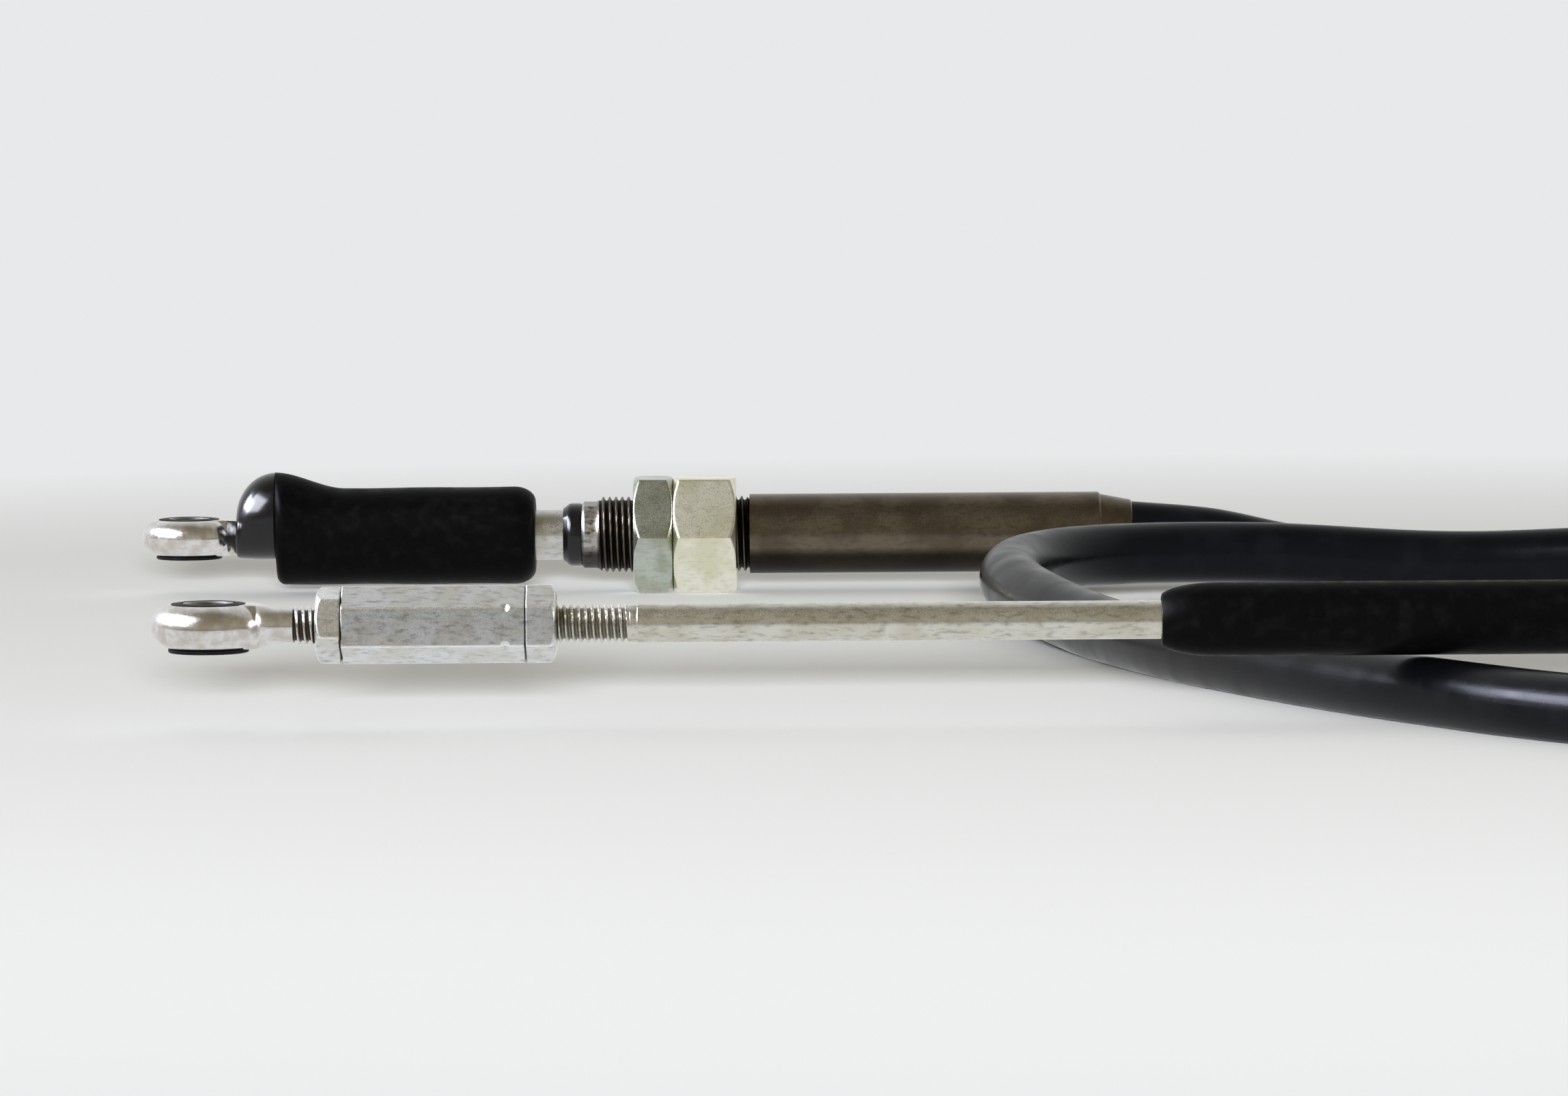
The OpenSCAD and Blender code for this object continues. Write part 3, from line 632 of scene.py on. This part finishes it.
def sealsPiece():
    # Rubber seals, each widening from the guide tube up to its hub and turned about the hub's axis
    seat, wide = sealLook["seat"], sealLook["radius"]
    parts = []
    for node in ("front_hub", "rear_hub"):
        x0, x1, y, z = span(node)
        start = x0 - sealLook["length"]
        corners = [[start, seat], [start, seat + 0.4], [start + 0.5, wide - 0.9],
                   [start + 1.4, wide - 0.2], [start + 2, wide], [x0 - 0.5, wide],
                   [x0 - 0.15, wide - 0.15], [x0 - 0.02, wide - 0.6], [x0 - 0.02, seat]]
        a, r = profile(corners, 0.3)
        parts.append(turnedPart(a, r, sealLook["sides"], (0, y, z), bored=True))
    return place(meshObject("hubSealRubbers", *joined(*parts), sharpAngle=50), "housing", "hub_seals")


bootLook = {
    "sides": 160,
    "lip": 5.1,  # radius of the mouth on the rod
    "lipRound": 0.5,
    "lipBore": 4.03,
    "lipFlare": 0.35,
    "lipFlareLength": 0.4,
    "tubeBore": 6.33,
    "noseLength": 10.2,
    "noseRadius": 10.2,
    "noseTop": 16.3,  # above the rod's axis
    "noseMiddle": 5.6,
    "noseBottom": -5.9,
    "tailLead": 0.5,  # the top starts to fall this far before the body
    "tailLength": 17,
    "middleLength": 9,
    "bodyRadius": 12.2,
    "corner": 2.2,
    "underStep": (-0.25, 0.15),  # where the underside steps from the nose to the body
    "shoulder": 5.5,
    "shoulderEnd": 0.7,
    "unevenness": 0.12,
    "waves": (7, 11),
    "dullFrom": 0.3,  # the rubbed sheen stops this far before the nose's end
}


def bootPiece():
    # Egg-shaped sections: y = w cos t, z = m + h sin t, with h measured from the widest height m to
    # the top above it and to the bottom below it. The nose swells as a quarter round, then the top
    # falls in an S to the body and the underside steps down over a rounded corner.
    x0, x1, y, z = span("rear_boot")
    look = bootLook
    bodyStart = x0 + look["noseLength"]
    tailEnd = bodyStart + look["tailLength"]
    x = steps(x0, (x0 + 1, 0.06), (bodyStart - 0.4, 0.3), (bodyStart + look["corner"], 0.08),
              (tailEnd, 0.5), (x1 - look["shoulder"], 1.5), (x1 - 0.3, 0.3), (x1, 0.06))
    swell = quarterRound((x - x0) / look["noseLength"])
    fallStart = bodyStart - look["tailLead"]
    fall = smoothStep(fallStart, tailEnd, x)
    stepStart, stepEnd = (bodyStart + d for d in look["underStep"])
    step = smoothStep(stepStart, stepEnd, x)
    rounded = quarterRound((x - bodyStart) / look["corner"])
    body, inset = look["bodyRadius"], look["bodyRadius"] - look["corner"]
    edge = look["lipRound"]
    lip = look["lip"] - edge + edge * quarterRound((x - x0) / edge)
    noseWide = lip + (look["noseRadius"] - look["lip"]) * swell
    wide = noseWide + (inset - look["noseRadius"]) * step + look["corner"] * rounded
    noseTop = lip + (look["noseTop"] - look["lip"]) * swell
    top = noseTop + (body - look["noseTop"]) * fall
    sink = smoothStep(fallStart, bodyStart + look["middleLength"], x)
    middle = look["noseMiddle"] * swell * (1 - sink)
    noseBottom = -lip + (look["noseBottom"] + look["lip"]) * swell
    bottom = noseBottom + (-inset - look["noseBottom"]) * step - look["corner"] * rounded
    pull = look["shoulderEnd"] + (1 - look["shoulderEnd"]) * quarterRound((x1 - x) / look["shoulder"])
    sides = look["sides"]
    t = turnAngles(sides)[None, :]
    short, long = (x[:, None] / length for length in look["waves"])
    wave = 1 + look["unevenness"] / body * np.sin(2 * t + short) * np.sin(long)
    height = np.where(np.sin(t) > 0, (top - middle)[:, None], (middle - bottom)[:, None])
    across = (wide * pull)[:, None] * np.cos(t) * wave
    up = (middle[:, None] + height * np.sin(t) * wave) * pull[:, None]
    outer = np.stack([np.broadcast_to(x[:, None], across.shape), across, up], axis=2)
    inside = [(x1, look["tubeBore"]), (bodyStart, look["tubeBore"]), (bodyStart, look["lipBore"]),
              (x0 + look["lipFlareLength"], look["lipBore"]), (x0, look["lipBore"] + look["lipFlare"])]
    inner = [np.stack([np.full(sides, a), r * np.cos(t[0]), r * np.sin(t[0])], axis=1)
             for a, r in inside]
    grid = np.concatenate([outer, np.array(inner)])
    points = grid.reshape(-1, 3) + np.array([0, y, span("rear_rod")[3]])
    piece = meshObject("rearBootRubber", points, ringFaces(len(grid), sides, True).tolist(), 50)
    return place(piece, "housing", "rear_boot")


frontSleeveRubber = sleevePiece()
hubSealRubbers = sealsPiece()
rearBootRubber = bootPiece()
print("sleeve, boot and seals made")


hubLook = {
    "sides": 144,
    "thread": 19.05,
    "pitch": 1.5875,
    "threadDepth": 0.95,
    "underNuts": 9.0,  # radius where the nuts hide the thread
    "nutLap": 0.3,
    "leadInDepth": 0.9,
    "leadInSlope": 1.1,
    "threadDirt": 0.35,
    "undersideShade": 0.85,  # painted shade along the underside of the rear tube
    "brightCollar": 0.4,
    "tubeBore": 6.33,
    "coreBore": 3.0,
    "collar": 16.8,
    "collarLength": 4.3,
    "edge": 0.6,
    "bareThread": 8.7,
    "jamNut": 10,
    "fullNut": 15.9,
    "frontThreadLength": 48,
    "rearThreadLength": 38,
    "rearTube": 20,
}
hubNutLook = {
    "acrossFlats": 28.6,
    "sides": 360,
    "bore": 18.12,
    "cornerSharpness": 90,
    "chamfer": 1.6,
    "chamferStart": 0.02,
    "faceDrop": 0.3,
    "round": 0.25,  # where two nuts meet
}
ferruleLook = {
    "sides": 128,
    "shell": 8.4,
    "groove": 0.5,
    "grooveWidth": 1.2,
    "taperStart": 9.4,
    "taperEnd": 7.9,
    "edge": 0.5,
}


def hubPiece(name, node, threadLength, tube):
    # r(x, t) = collar, then crest less the thread drop, then the plain tube of the rear hub
    look = hubLook
    x0, x1, y, z = span(node)
    threadStart = x0 + look["collarLength"]
    threadEnd = threadStart + threadLength
    firstNut = threadStart + look["bareThread"]
    nuts = firstNut, firstNut + look["jamNut"] + look["fullNut"]
    x = steps(x0, (x0 + 0.8, 0.15), (threadStart, 0.8), (nuts[0] + 0.6, 0.1), (nuts[1] - 0.6, 1),
              (threadEnd + 0.02, 0.1), (x1 - 0.8, 2.5) if tube else (x1, 0.02), (x1, 0.15))
    sides = look["sides"]
    angle = turnAngles(sides)
    crest, depth = look["thread"] / 2, look["threadDepth"]
    threaded = crest - threadDrop(x, angle, look["pitch"], depth)
    fromEnds = np.clip(np.minimum(x - threadStart, threadEnd - x), 0, None)
    leadIn = crest - look["leadInDepth"] + fromEnds * look["leadInSlope"]
    threaded = np.minimum(threaded, np.maximum(leadIn, crest - depth)[:, None])
    hidden = (x > nuts[0] + look["nutLap"]) & (x < nuts[1] - look["nutLap"])
    threaded[hidden] = look["underNuts"]
    collar = look["collar"] / 2 - np.clip(look["edge"] - (x - x0), 0, None)
    wall = np.where((x < threadStart)[:, None], collar[:, None], threaded)
    if tube:
        plain = tube / 2 - np.clip(look["edge"] - (x1 - x), 0, None)
        wall = np.where((x > threadEnd)[:, None], plain[:, None], wall)
    onThread = (x > threadStart) & (x < threadEnd)
    # The thread is dark: evenly with dirt, and darker with depth as dirt and painted shade in the roots
    darkening = look["threadDirt"]
    # The rear tube's lower side is painted dark: painted shade, not dirt
    underShade = look["undersideShade"] * smoothStep(-0.15, -0.55, np.sin(angle)) * bool(tube)
    deep = np.where(onThread[:, None], darkening + (crest - wall) / depth * (1 - darkening), underShade)
    deep = np.pad(deep, ((1, 1), (0, 0)), mode="edge")
    x = np.pad(x, 1, mode="edge")
    bores = [np.full((1, sides), look[k]) for k in ("tubeBore", "coreBore")]
    wall = np.concatenate([bores[0], wall, bores[1]])
    part = turnedPart(x, wall, sides, (0, y, z), bored=True)
    bright = np.broadcast_to((x < threadStart)[:, None] * look["brightCollar"], wall.shape)
    piece = meshObject(name, *part, sharpAngle=40, grime=np.clip(deep, 0, 1), wear=bright)
    return place(piece, "housing", node)


def hubNutsPiece(name, node, start, length):
    # Bulkhead nuts on both hubs: flats up and down, and a chamfered cover that rises evenly from
    # both faces
    look = hubNutLook
    parts = []
    for hub in ("front_hub", "rear_hub"):
        x0, x1, y, z = span(hub)
        x0, x1 = x0 + start, x0 + start + length
        x = steps(x0, (x0 + 0.4, 0.04), (x0 + 2, 0.1), (x1 - 2, 0.6), (x1 - 0.4, 0.1), (x1, 0.04))
        face = look["acrossFlats"] / 2 - look["faceDrop"]
        end = np.minimum(x - x0, x1 - x)
        rise = (hexCorner(look["acrossFlats"]) - face) / look["chamfer"]
        cover = face + end * rise + look["chamferStart"]
        cover = cover - look["round"] * np.clip(1 - end / look["round"], 0, 1) ** 2
        parts.append(boredHex(x, cover, 30, look, (0, y, z)))
    return place(meshObject(name, *joined(*parts), sharpAngle=40), "housing", node)


def ferrulePiece(name, node, crimped):
    # The front ferrule is a turned sleeve with one rolled groove, a dip of exp(-(d / width)^4). The
    # rear one's radius falls evenly from the tube to the conduit.
    x0, x1, y, z = span(node)
    look = ferruleLook
    x = steps(x0, (x1, 0.1))
    if crimped:
        fromGroove = x - (x0 + x1) / 2
        r = look["shell"] - look["groove"] * np.exp(-(fromGroove / look["grooveWidth"]) ** 4)
        end = np.minimum(x - x0, x1 - x)
    else:
        r = look["taperStart"] + (look["taperEnd"] - look["taperStart"]) * (x - x0) / (x1 - x0)
        end = x1 - x
    r = r - np.clip(look["edge"] - end, 0, None)
    piece = meshObject(name, *turnedPart(x, r, look["sides"], (0, y, z)), sharpAngle=50)
    return place(piece, "housing", node)


frontHubBody = hubPiece("frontHubBody", "front_hub", hubLook["frontThreadLength"], 0)
rearHubBody = hubPiece("rearHubBody", "rear_hub", hubLook["rearThreadLength"], hubLook["rearTube"])
jamStart = hubLook["collarLength"] + hubLook["bareThread"]
fullStart = jamStart + hubLook["jamNut"] + 0.01
hubJamNuts = hubNutsPiece("hubJamNuts", "hub_jam_nuts", jamStart, hubLook["jamNut"])
hubFullNuts = hubNutsPiece("hubFullNuts", "hub_full_nuts", fullStart, hubLook["fullNut"])
frontFerruleShell = ferrulePiece("frontFerruleShell", "front_ferrule", True)
rearFerruleShell = ferrulePiece("rearFerruleShell", "rear_ferrule", False)
print("hubs, nuts and ferrules made")


def colour(code):
    # sRGB hex to linear: ((c + 0.055) / 1.055)^2.4, and c / 12.92 near black
    parts = np.array([int(code[k:k + 2], 16) for k in (1, 3, 5)]) / 255
    linear = np.where(parts <= 0.04045, parts / 12.92, ((parts + 0.055) / 1.055) ** 2.4)
    return (*linear.tolist(), 1)


def add(tree, kind, inputs, **settings):
    # One shader node with its settings; an input is a value or another node's socket
    node = tree.nodes.new("ShaderNode" + kind)
    for name, value in settings.items():
        setattr(node, name, value)
    for name, value in inputs.items():
        if isinstance(value, bpy.types.NodeSocket):
            tree.links.new(value, node.inputs[name])
        else:
            node.inputs[name].default_value = value
    return node


def newMaterial(name, **shader):
    # A principled material with the given sockets set, spaces in their names as underscores
    material = bpy.data.materials.new(name)
    material.use_nodes = True
    tree = material.node_tree
    surface = tree.nodes["Principled BSDF"]
    for socket, value in shader.items():
        surface.inputs[socket.replace("_", " ")].default_value = value
    return material, tree, surface


def grain(tree, where, size, detail=3, stretch=(1, 1, 1)):
    # Noise with a grain of the given size in millimetres
    fit = add(tree, "Mapping", {"Vector": where, "Scale": stretch})
    look = {"Vector": fit.outputs[0], "Scale": 1 / (size * mm), "Detail": detail}
    return add(tree, "TexNoise", look).outputs[0]


def spread(tree, value, low, high, start=0.0, end=1.0):
    # Value from low..high mapped to start..end
    return add(tree, "MapRange", {"Value": value, "From Min": low, "From Max": high,
                                  "To Min": start, "To Max": end}).outputs[0]


def mixed(tree, factor, first, second):
    # Two colours mixed, each a hex code or a socket
    first, second = (colour(c) if isinstance(c, str) else c for c in (first, second))
    return add(tree, "Mix", {0: factor, 6: first, 7: second}, data_type="RGBA").outputs[2]


def calc(tree, operation, *values, clamp=False):
    # Arithmetic over values or sockets
    return add(tree, "Math", dict(enumerate(values)), operation=operation, use_clamp=clamp).outputs[0]


def coat(tree, surface, tone, rough, height, strength, depth):
    # Gives the surface its colour, its roughness and a relief of the given depth in millimetres
    bump = add(tree, "Bump", {"Height": height, "Strength": strength, "Distance": depth * mm})
    for name, socket in {"Base Color": tone, "Roughness": rough, "Normal": bump.outputs[0]}.items():
        tree.links.new(socket, surface.inputs[name])


def platedSteel(name, pale, tinted, rough, patch=6, darkening="#4a4232", mottle="#8d8e92"):
    # Zinc-plated steel, passivated: a satin metal with a frosted mottle, a faint cloudy tint,
    # scratches along the part and bright worn corners. Its dark tone is dirt in joints, dirt and
    # painted shade in thread roots, and painted shade along a tube's underside. The frost is drawn
    # coarser than real crystals, so that it still shows from the camera
    material, tree, surface = newMaterial(name, Metallic=1.0)
    where = add(tree, "TexCoord", {}).outputs["Object"]
    cloud = grain(tree, where, patch, 3)
    frost = grain(tree, where, 0.8, 5, (0.35, 1, 1))
    fine = grain(tree, where, 0.3, 4)
    scratch = grain(tree, where, 0.2, 2, (0.05, 1, 1))
    tone = mixed(tree, spread(tree, cloud, 0.42, 0.62), pale, tinted)
    tone = mixed(tree, spread(tree, frost, 0.5, 0.72, 0, 0.6), tone, mottle)
    worn = add(tree, "Attribute", {}, attribute_name="wear").outputs["Fac"]
    chipped = calc(tree, "MULTIPLY", worn, spread(tree, frost, 0.3, 0.5))
    tone = mixed(tree, chipped, tone, "#f4f4f1")
    # Darker where a piece marks it: dirt in joints, dirt and painted shade in thread roots, painted
    # shade on an underside
    grime = add(tree, "Attribute", {}, attribute_name="grime").outputs["Fac"]
    tone = mixed(tree, spread(tree, grime, 0.25, 0.95), tone, darkening)
    satin = spread(tree, fine, 0.3, 0.7, rough - 0.05, rough + 0.07)
    dull = calc(tree, "MULTIPLY_ADD", grime, 0.3, satin)
    relief = calc(tree, "ADD", fine, scratch)
    coat(tree, surface, tone, dull, relief, 0.22, 0.015)
    return material


def mouldedRubber(name, base, dusty, rough, sheen=0.15, polish=0.0):
    # Black moulded rubber: soft sheen, a moulded grain (drawn coarser than real) and a trace of pale
    # dust, or shiny where it is stretched and rubbed
    material, tree, surface = newMaterial(name, Specular_IOR_Level=sheen, Coat_Weight=polish,
                                          Coat_Roughness=0.18)
    where = add(tree, "TexCoord", {}).outputs["Object"]
    dust = grain(tree, where, 3, 6)
    fine = grain(tree, where, 0.25, 3)
    tone = mixed(tree, spread(tree, dust, 0.5, 0.8), base, dusty)
    satin = spread(tree, dust, 0.3, 0.7, rough - 0.07, rough + 0.1)
    coat(tree, surface, tone, satin, fine, 0.35 - 0.25 * polish, 0.03)
    return material


def extrudedJacket(name, base, scuffed, rough):
    # Black extruded plastic jacket: semi-gloss, with faint die lines along it and soft scuffs
    material, tree, surface = newMaterial(name, Specular_IOR_Level=0.07)
    where = add(tree, "TexCoord", {})
    along = add(tree, "Mapping", {"Vector": where.outputs["UV"], "Scale": (6, 90, 1)})
    lines = add(tree, "TexNoise", {"Vector": along.outputs[0], "Scale": 1, "Detail": 3}).outputs[0]
    scuffs = grain(tree, where.outputs["Object"], 9, 6)
    fine = grain(tree, where.outputs["Object"], 0.6, 4)
    tone = mixed(tree, spread(tree, scuffs, 0.5, 0.8), base, scuffed)
    satin = spread(tree, scuffs, 0.3, 0.7, rough - 0.05, rough + 0.08)
    relief = calc(tree, "ADD", lines, fine)
    coat(tree, surface, tone, satin, relief, 0.3, 0.05)
    return material


# neutral silver grey with a soft, grainy highlight
zincPlate = platedSteel("satinZincPlatedSteel", "#e0e2e2", "#d6d5cf", 0.26, mottle="#8a8a8f")
# a slightly yellow, worn silver
rodZinc = platedSteel("warmZincPlatedSteel", "#d9d7cd", "#cecabb", 0.26, mottle="#878580")
# darker, with broad weak highlights
sleeveSteel = platedSteel("oiledSleeveSteel", "#8b8984", "#7d7a74", 0.34)
# smoother and shinier, with brownish stains
eyeZinc = platedSteel("stainedZincPlatedSteel", "#e2e1df", "#cdc6bd", 0.18, patch=3.5, mottle="#c3bdb8")
# two copies of one zinc: a dull green grey on the jam nuts, and a paler warm cream on the full nuts
# that paints on a broad highlight
jamNutZinc = platedSteel("greenishZincPlatedSteel", "#bcc2b7", "#a6a897", 0.25, patch=8,
                         mottle="#919a94")
fullNutHighlightZinc = platedSteel("paintedHighlightCreamZinc", "#eceada", "#dddbc0", 0.3, patch=8, mottle="#c4c4b0")
# plain bright grey
drawnTube = platedSteel("brightDrawnSteel", "#cfcfcb", "#bdbbb2", 0.26)
# dark brown; its black tone is dirt and painted shade in the threads, and painted shade along the rear
# tube's underside
brownPlate = platedSteel("brownPassivatedSteel", "#6c6254", "#5a5044", 0.28, patch=9, darkening="#100f0e",
                         mottle="#4c453b")
# mid grey and matt
coreSteel = platedSteel("coreWireSteel", "#a9a9a6", "#8f8f8a", 0.4)
# deep black and nearly matt, a wet-looking black, and a greyer matt black
sleeveRubber = mouldedRubber("blackMouldedRubber", "#030303", "#070707", 0.42, sheen=0.03)
noseRubber = mouldedRubber("polishedBlackRubber", "#040405", "#09090b", 0.2, sheen=0.15, polish=0.5)
bushRubber = mouldedRubber("blackBushRubber", "#070708", "#111111", 0.5, sheen=0.1)
# bluish black with one soft streak along the top
jacketPlastic = extrudedJacket("blackExtrudedJacket", "#050608", "#0a0b0e", 0.25)

looks = [
    (zincPlate, "zinc_steel", eyeLockNut, rodLockNut, frontCouplingBar),
    (rodZinc, "zinc_steel", frontRodBar, rearRodBar),
    (sleeveSteel, "zinc_steel", frontPinSleeve, rearPinSleeve),
    (eyeZinc, "zinc_steel", frontEyeThread, frontEyeForging, rearEyeForging),
    (jamNutZinc, "zinc_steel", hubJamNuts),
    (fullNutHighlightZinc, "zinc_steel", hubFullNuts),
    (brownPlate, "dull_steel", frontHubBody, rearHubBody, rearFerruleShell),
    (drawnTube, "tube_steel", frontFerruleShell),
    (sleeveRubber, "black_rubber", frontSleeveRubber, rearBootRubber),
    (noseRubber, "bush_rubber", hubSealRubbers),
    (bushRubber, "bush_rubber", frontBushRubber, rearBushRubber),
    (jacketPlastic, "conduit_plastic", conduitJacket),
]
for material, slot, *pieces in looks:
    for piece in pieces:
        dress(piece, material)

# the boot's nose is stretched and rubbed, so it shines
rearBootRubber.data.materials.append(noseRubber)
noseEnd = (span("rear_boot")[0] + bootLook["noseLength"] - bootLook["dullFrom"]) * mm
faceX = np.array([face.center.x for face in rearBootRubber.data.polygons])
rearBootRubber.data.polygons.foreach_set("material_index", (faceX < noseEnd).astype(np.int32))

cadLooks = {
    "front_core": coreSteel,
    "rear_core": coreSteel,
    "front_guide_tube": drawnTube,
    "rear_guide_tube": drawnTube,
    "front_wiper": bushRubber,
    "rear_wiper": bushRubber,
}
for node, material in cadLooks.items():
    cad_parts[node].data.materials.clear()
    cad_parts[node].data.materials.append(material)
print("materials set")


studio = {
    "paper": "#e8e9ea",
    "dim": "#646268",
    "dimFrom": (-0.08, -0.3),
    "middle": (0.2, 0.15),
    "evenFrom": (0.45, 0.8),
    "radius": 9.0,
    "drop": 0.0001,  # keeps the table's face clear of the conduit's
    "sides": 96,
}


def stagePiece():
    # A round paper table top, level with the underside of the conduit: x = r cos t, y = r sin t
    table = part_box("conduit")[0].z - studio["drop"]
    sides = studio["sides"]
    t = turnAngles(sides)
    rim = np.stack([np.cos(t), np.sin(t)], axis=1) * studio["radius"] + np.array(studio["middle"])
    points = np.concatenate([rim, np.full((sides, 1), table)], axis=1)
    piece = meshObject("paperTable", points / mm, [list(range(sides))], 60)
    material, tree, surface = newMaterial("paleTablePaper", Base_Color=colour(studio["paper"]),
                                          Roughness=0.9, Specular_IOR_Level=0.1)
    where = add(tree, "TexCoord", {}).outputs["Object"]
    y = add(tree, "SeparateXYZ", {"Vector": where}).outputs["Y"]
    away = add(tree, "VectorMath", {0: where, 1: (*studio["middle"], table)}, operation="DISTANCE")
    # Away from the part the paper is evenly pale to the camera. A gloss or glass sees all of it so,
    # but for its near edge, which is dim as the room behind it
    far = spread(tree, away.outputs["Value"], *studio["evenFrom"])
    seen = add(tree, "LightPath", {}).outputs
    nearEdge = calc(tree, "SUBTRACT", spread(tree, y, *studio["dimFrom"]), seen["Is Camera Ray"],
                    clamp=True)
    tone = mixed(tree, nearEdge, studio["paper"], studio["dim"])
    glow = add(tree, "Emission", {"Color": tone, "Strength": 1.0})
    straight = calc(tree, "MULTIPLY", far, seen["Is Camera Ray"])
    gloss = calc(tree, "MAXIMUM", seen["Is Glossy Ray"], seen["Is Transmission Ray"])
    share = calc(tree, "MAXIMUM", straight, gloss)
    mix = add(tree, "MixShader", {0: share, 1: surface.outputs[0], 2: glow.outputs[0]})
    tree.links.new(mix.outputs[0], tree.nodes["Material Output"].inputs["Surface"])
    piece.data.materials.append(material)
    return piece


lamps = {
    # windows that the metal and rubber mirror, too far round to light the table
    "windowLeft": {"place": (-1.05, -0.36, 0.86), "aim": (0.1, 0.1, 0), "size": (1.3, 0.85),
                   "watts": 75, "tone": (0.86, 0.89, 1.0), "mirrored": True},
    "windowBack": {"place": (-1.25, 0.3, 0.72), "aim": (0.1, 0.1, 0), "size": (1.0, 0.45),
                   "watts": 55, "tone": (0.76, 0.81, 1.0), "mirrored": True},
    # a far soft box that casts the shadows close behind the part and isn't seen in the metal
    "softFront": {"place": (0.1, -4.2, 0.6), "aim": (0.2, 0.1, 0), "size": (0.9, 0.35),
                  "watts": 610, "tone": (0.94, 0.97, 1.0), "mirrored": False},
}


def lampObject(name, lamp):
    # A rectangular lamp turned towards its aim: either it is mirrored or it lights
    light = bpy.data.lights.new(name, "AREA")
    light.shape = "RECTANGLE"
    light.size, light.size_y = lamp["size"]
    light.energy = lamp["watts"]
    light.color = lamp["tone"]
    item = sceneObject(name, light)
    item.location = lamp["place"]
    beam = Vector(lamp["aim"]) - Vector(lamp["place"])
    item.rotation_euler = beam.to_track_quat("-Z", "Y").to_euler()
    item.visible_glossy, item.visible_diffuse = lamp["mirrored"], not lamp["mirrored"]
    item.visible_camera = False


room = {
    # what stands round the table, from eye level (0) up to the ceiling (1), on the camera's side
    "near": [(0.0, "#a8a297"), (0.1, "#aca694"), (0.3, "#a8a18e"), (0.7, "#918a79"), (1.0, "#858070")],
    "farSide": (-0.05, 0.75),  # where it gives way to the pale backdrop, over the heading's y
}


def roomLight():
    # Light from direction d: a ramp over its height z, blended to the pale backdrop over its y;
    # the camera and glass see only the backdrop
    world = bpy.data.worlds.new("room")
    world.use_nodes = True
    tree = world.node_tree
    where = add(tree, "TexCoord", {}).outputs["Generated"]
    heading = add(tree, "SeparateXYZ", {"Vector": where})
    ramp = add(tree, "ValToRGB", {"Fac": heading.outputs["Z"]})
    stops = ramp.color_ramp.elements
    stops[0].color, stops[1].color = colour(room["near"][0][1]), colour(room["near"][-1][1])
    for height, code in room["near"][1:-1]:
        stops.new(height).color = colour(code)
    seen = add(tree, "LightPath", {}).outputs
    straight = calc(tree, "MAXIMUM", seen["Is Camera Ray"], seen["Is Transmission Ray"])
    share = calc(tree, "MAXIMUM", spread(tree, heading.outputs["Y"], *room["farSide"]), straight)
    tree.links.new(mixed(tree, share, ramp.outputs[0], studio["paper"]),
                   tree.nodes["Background"].inputs["Color"])
    bpy.context.scene.world = world


stagePiece()
for lampName, lamp in lamps.items():
    lampObject(lampName, lamp)
roomLight()
print("stage and light set")
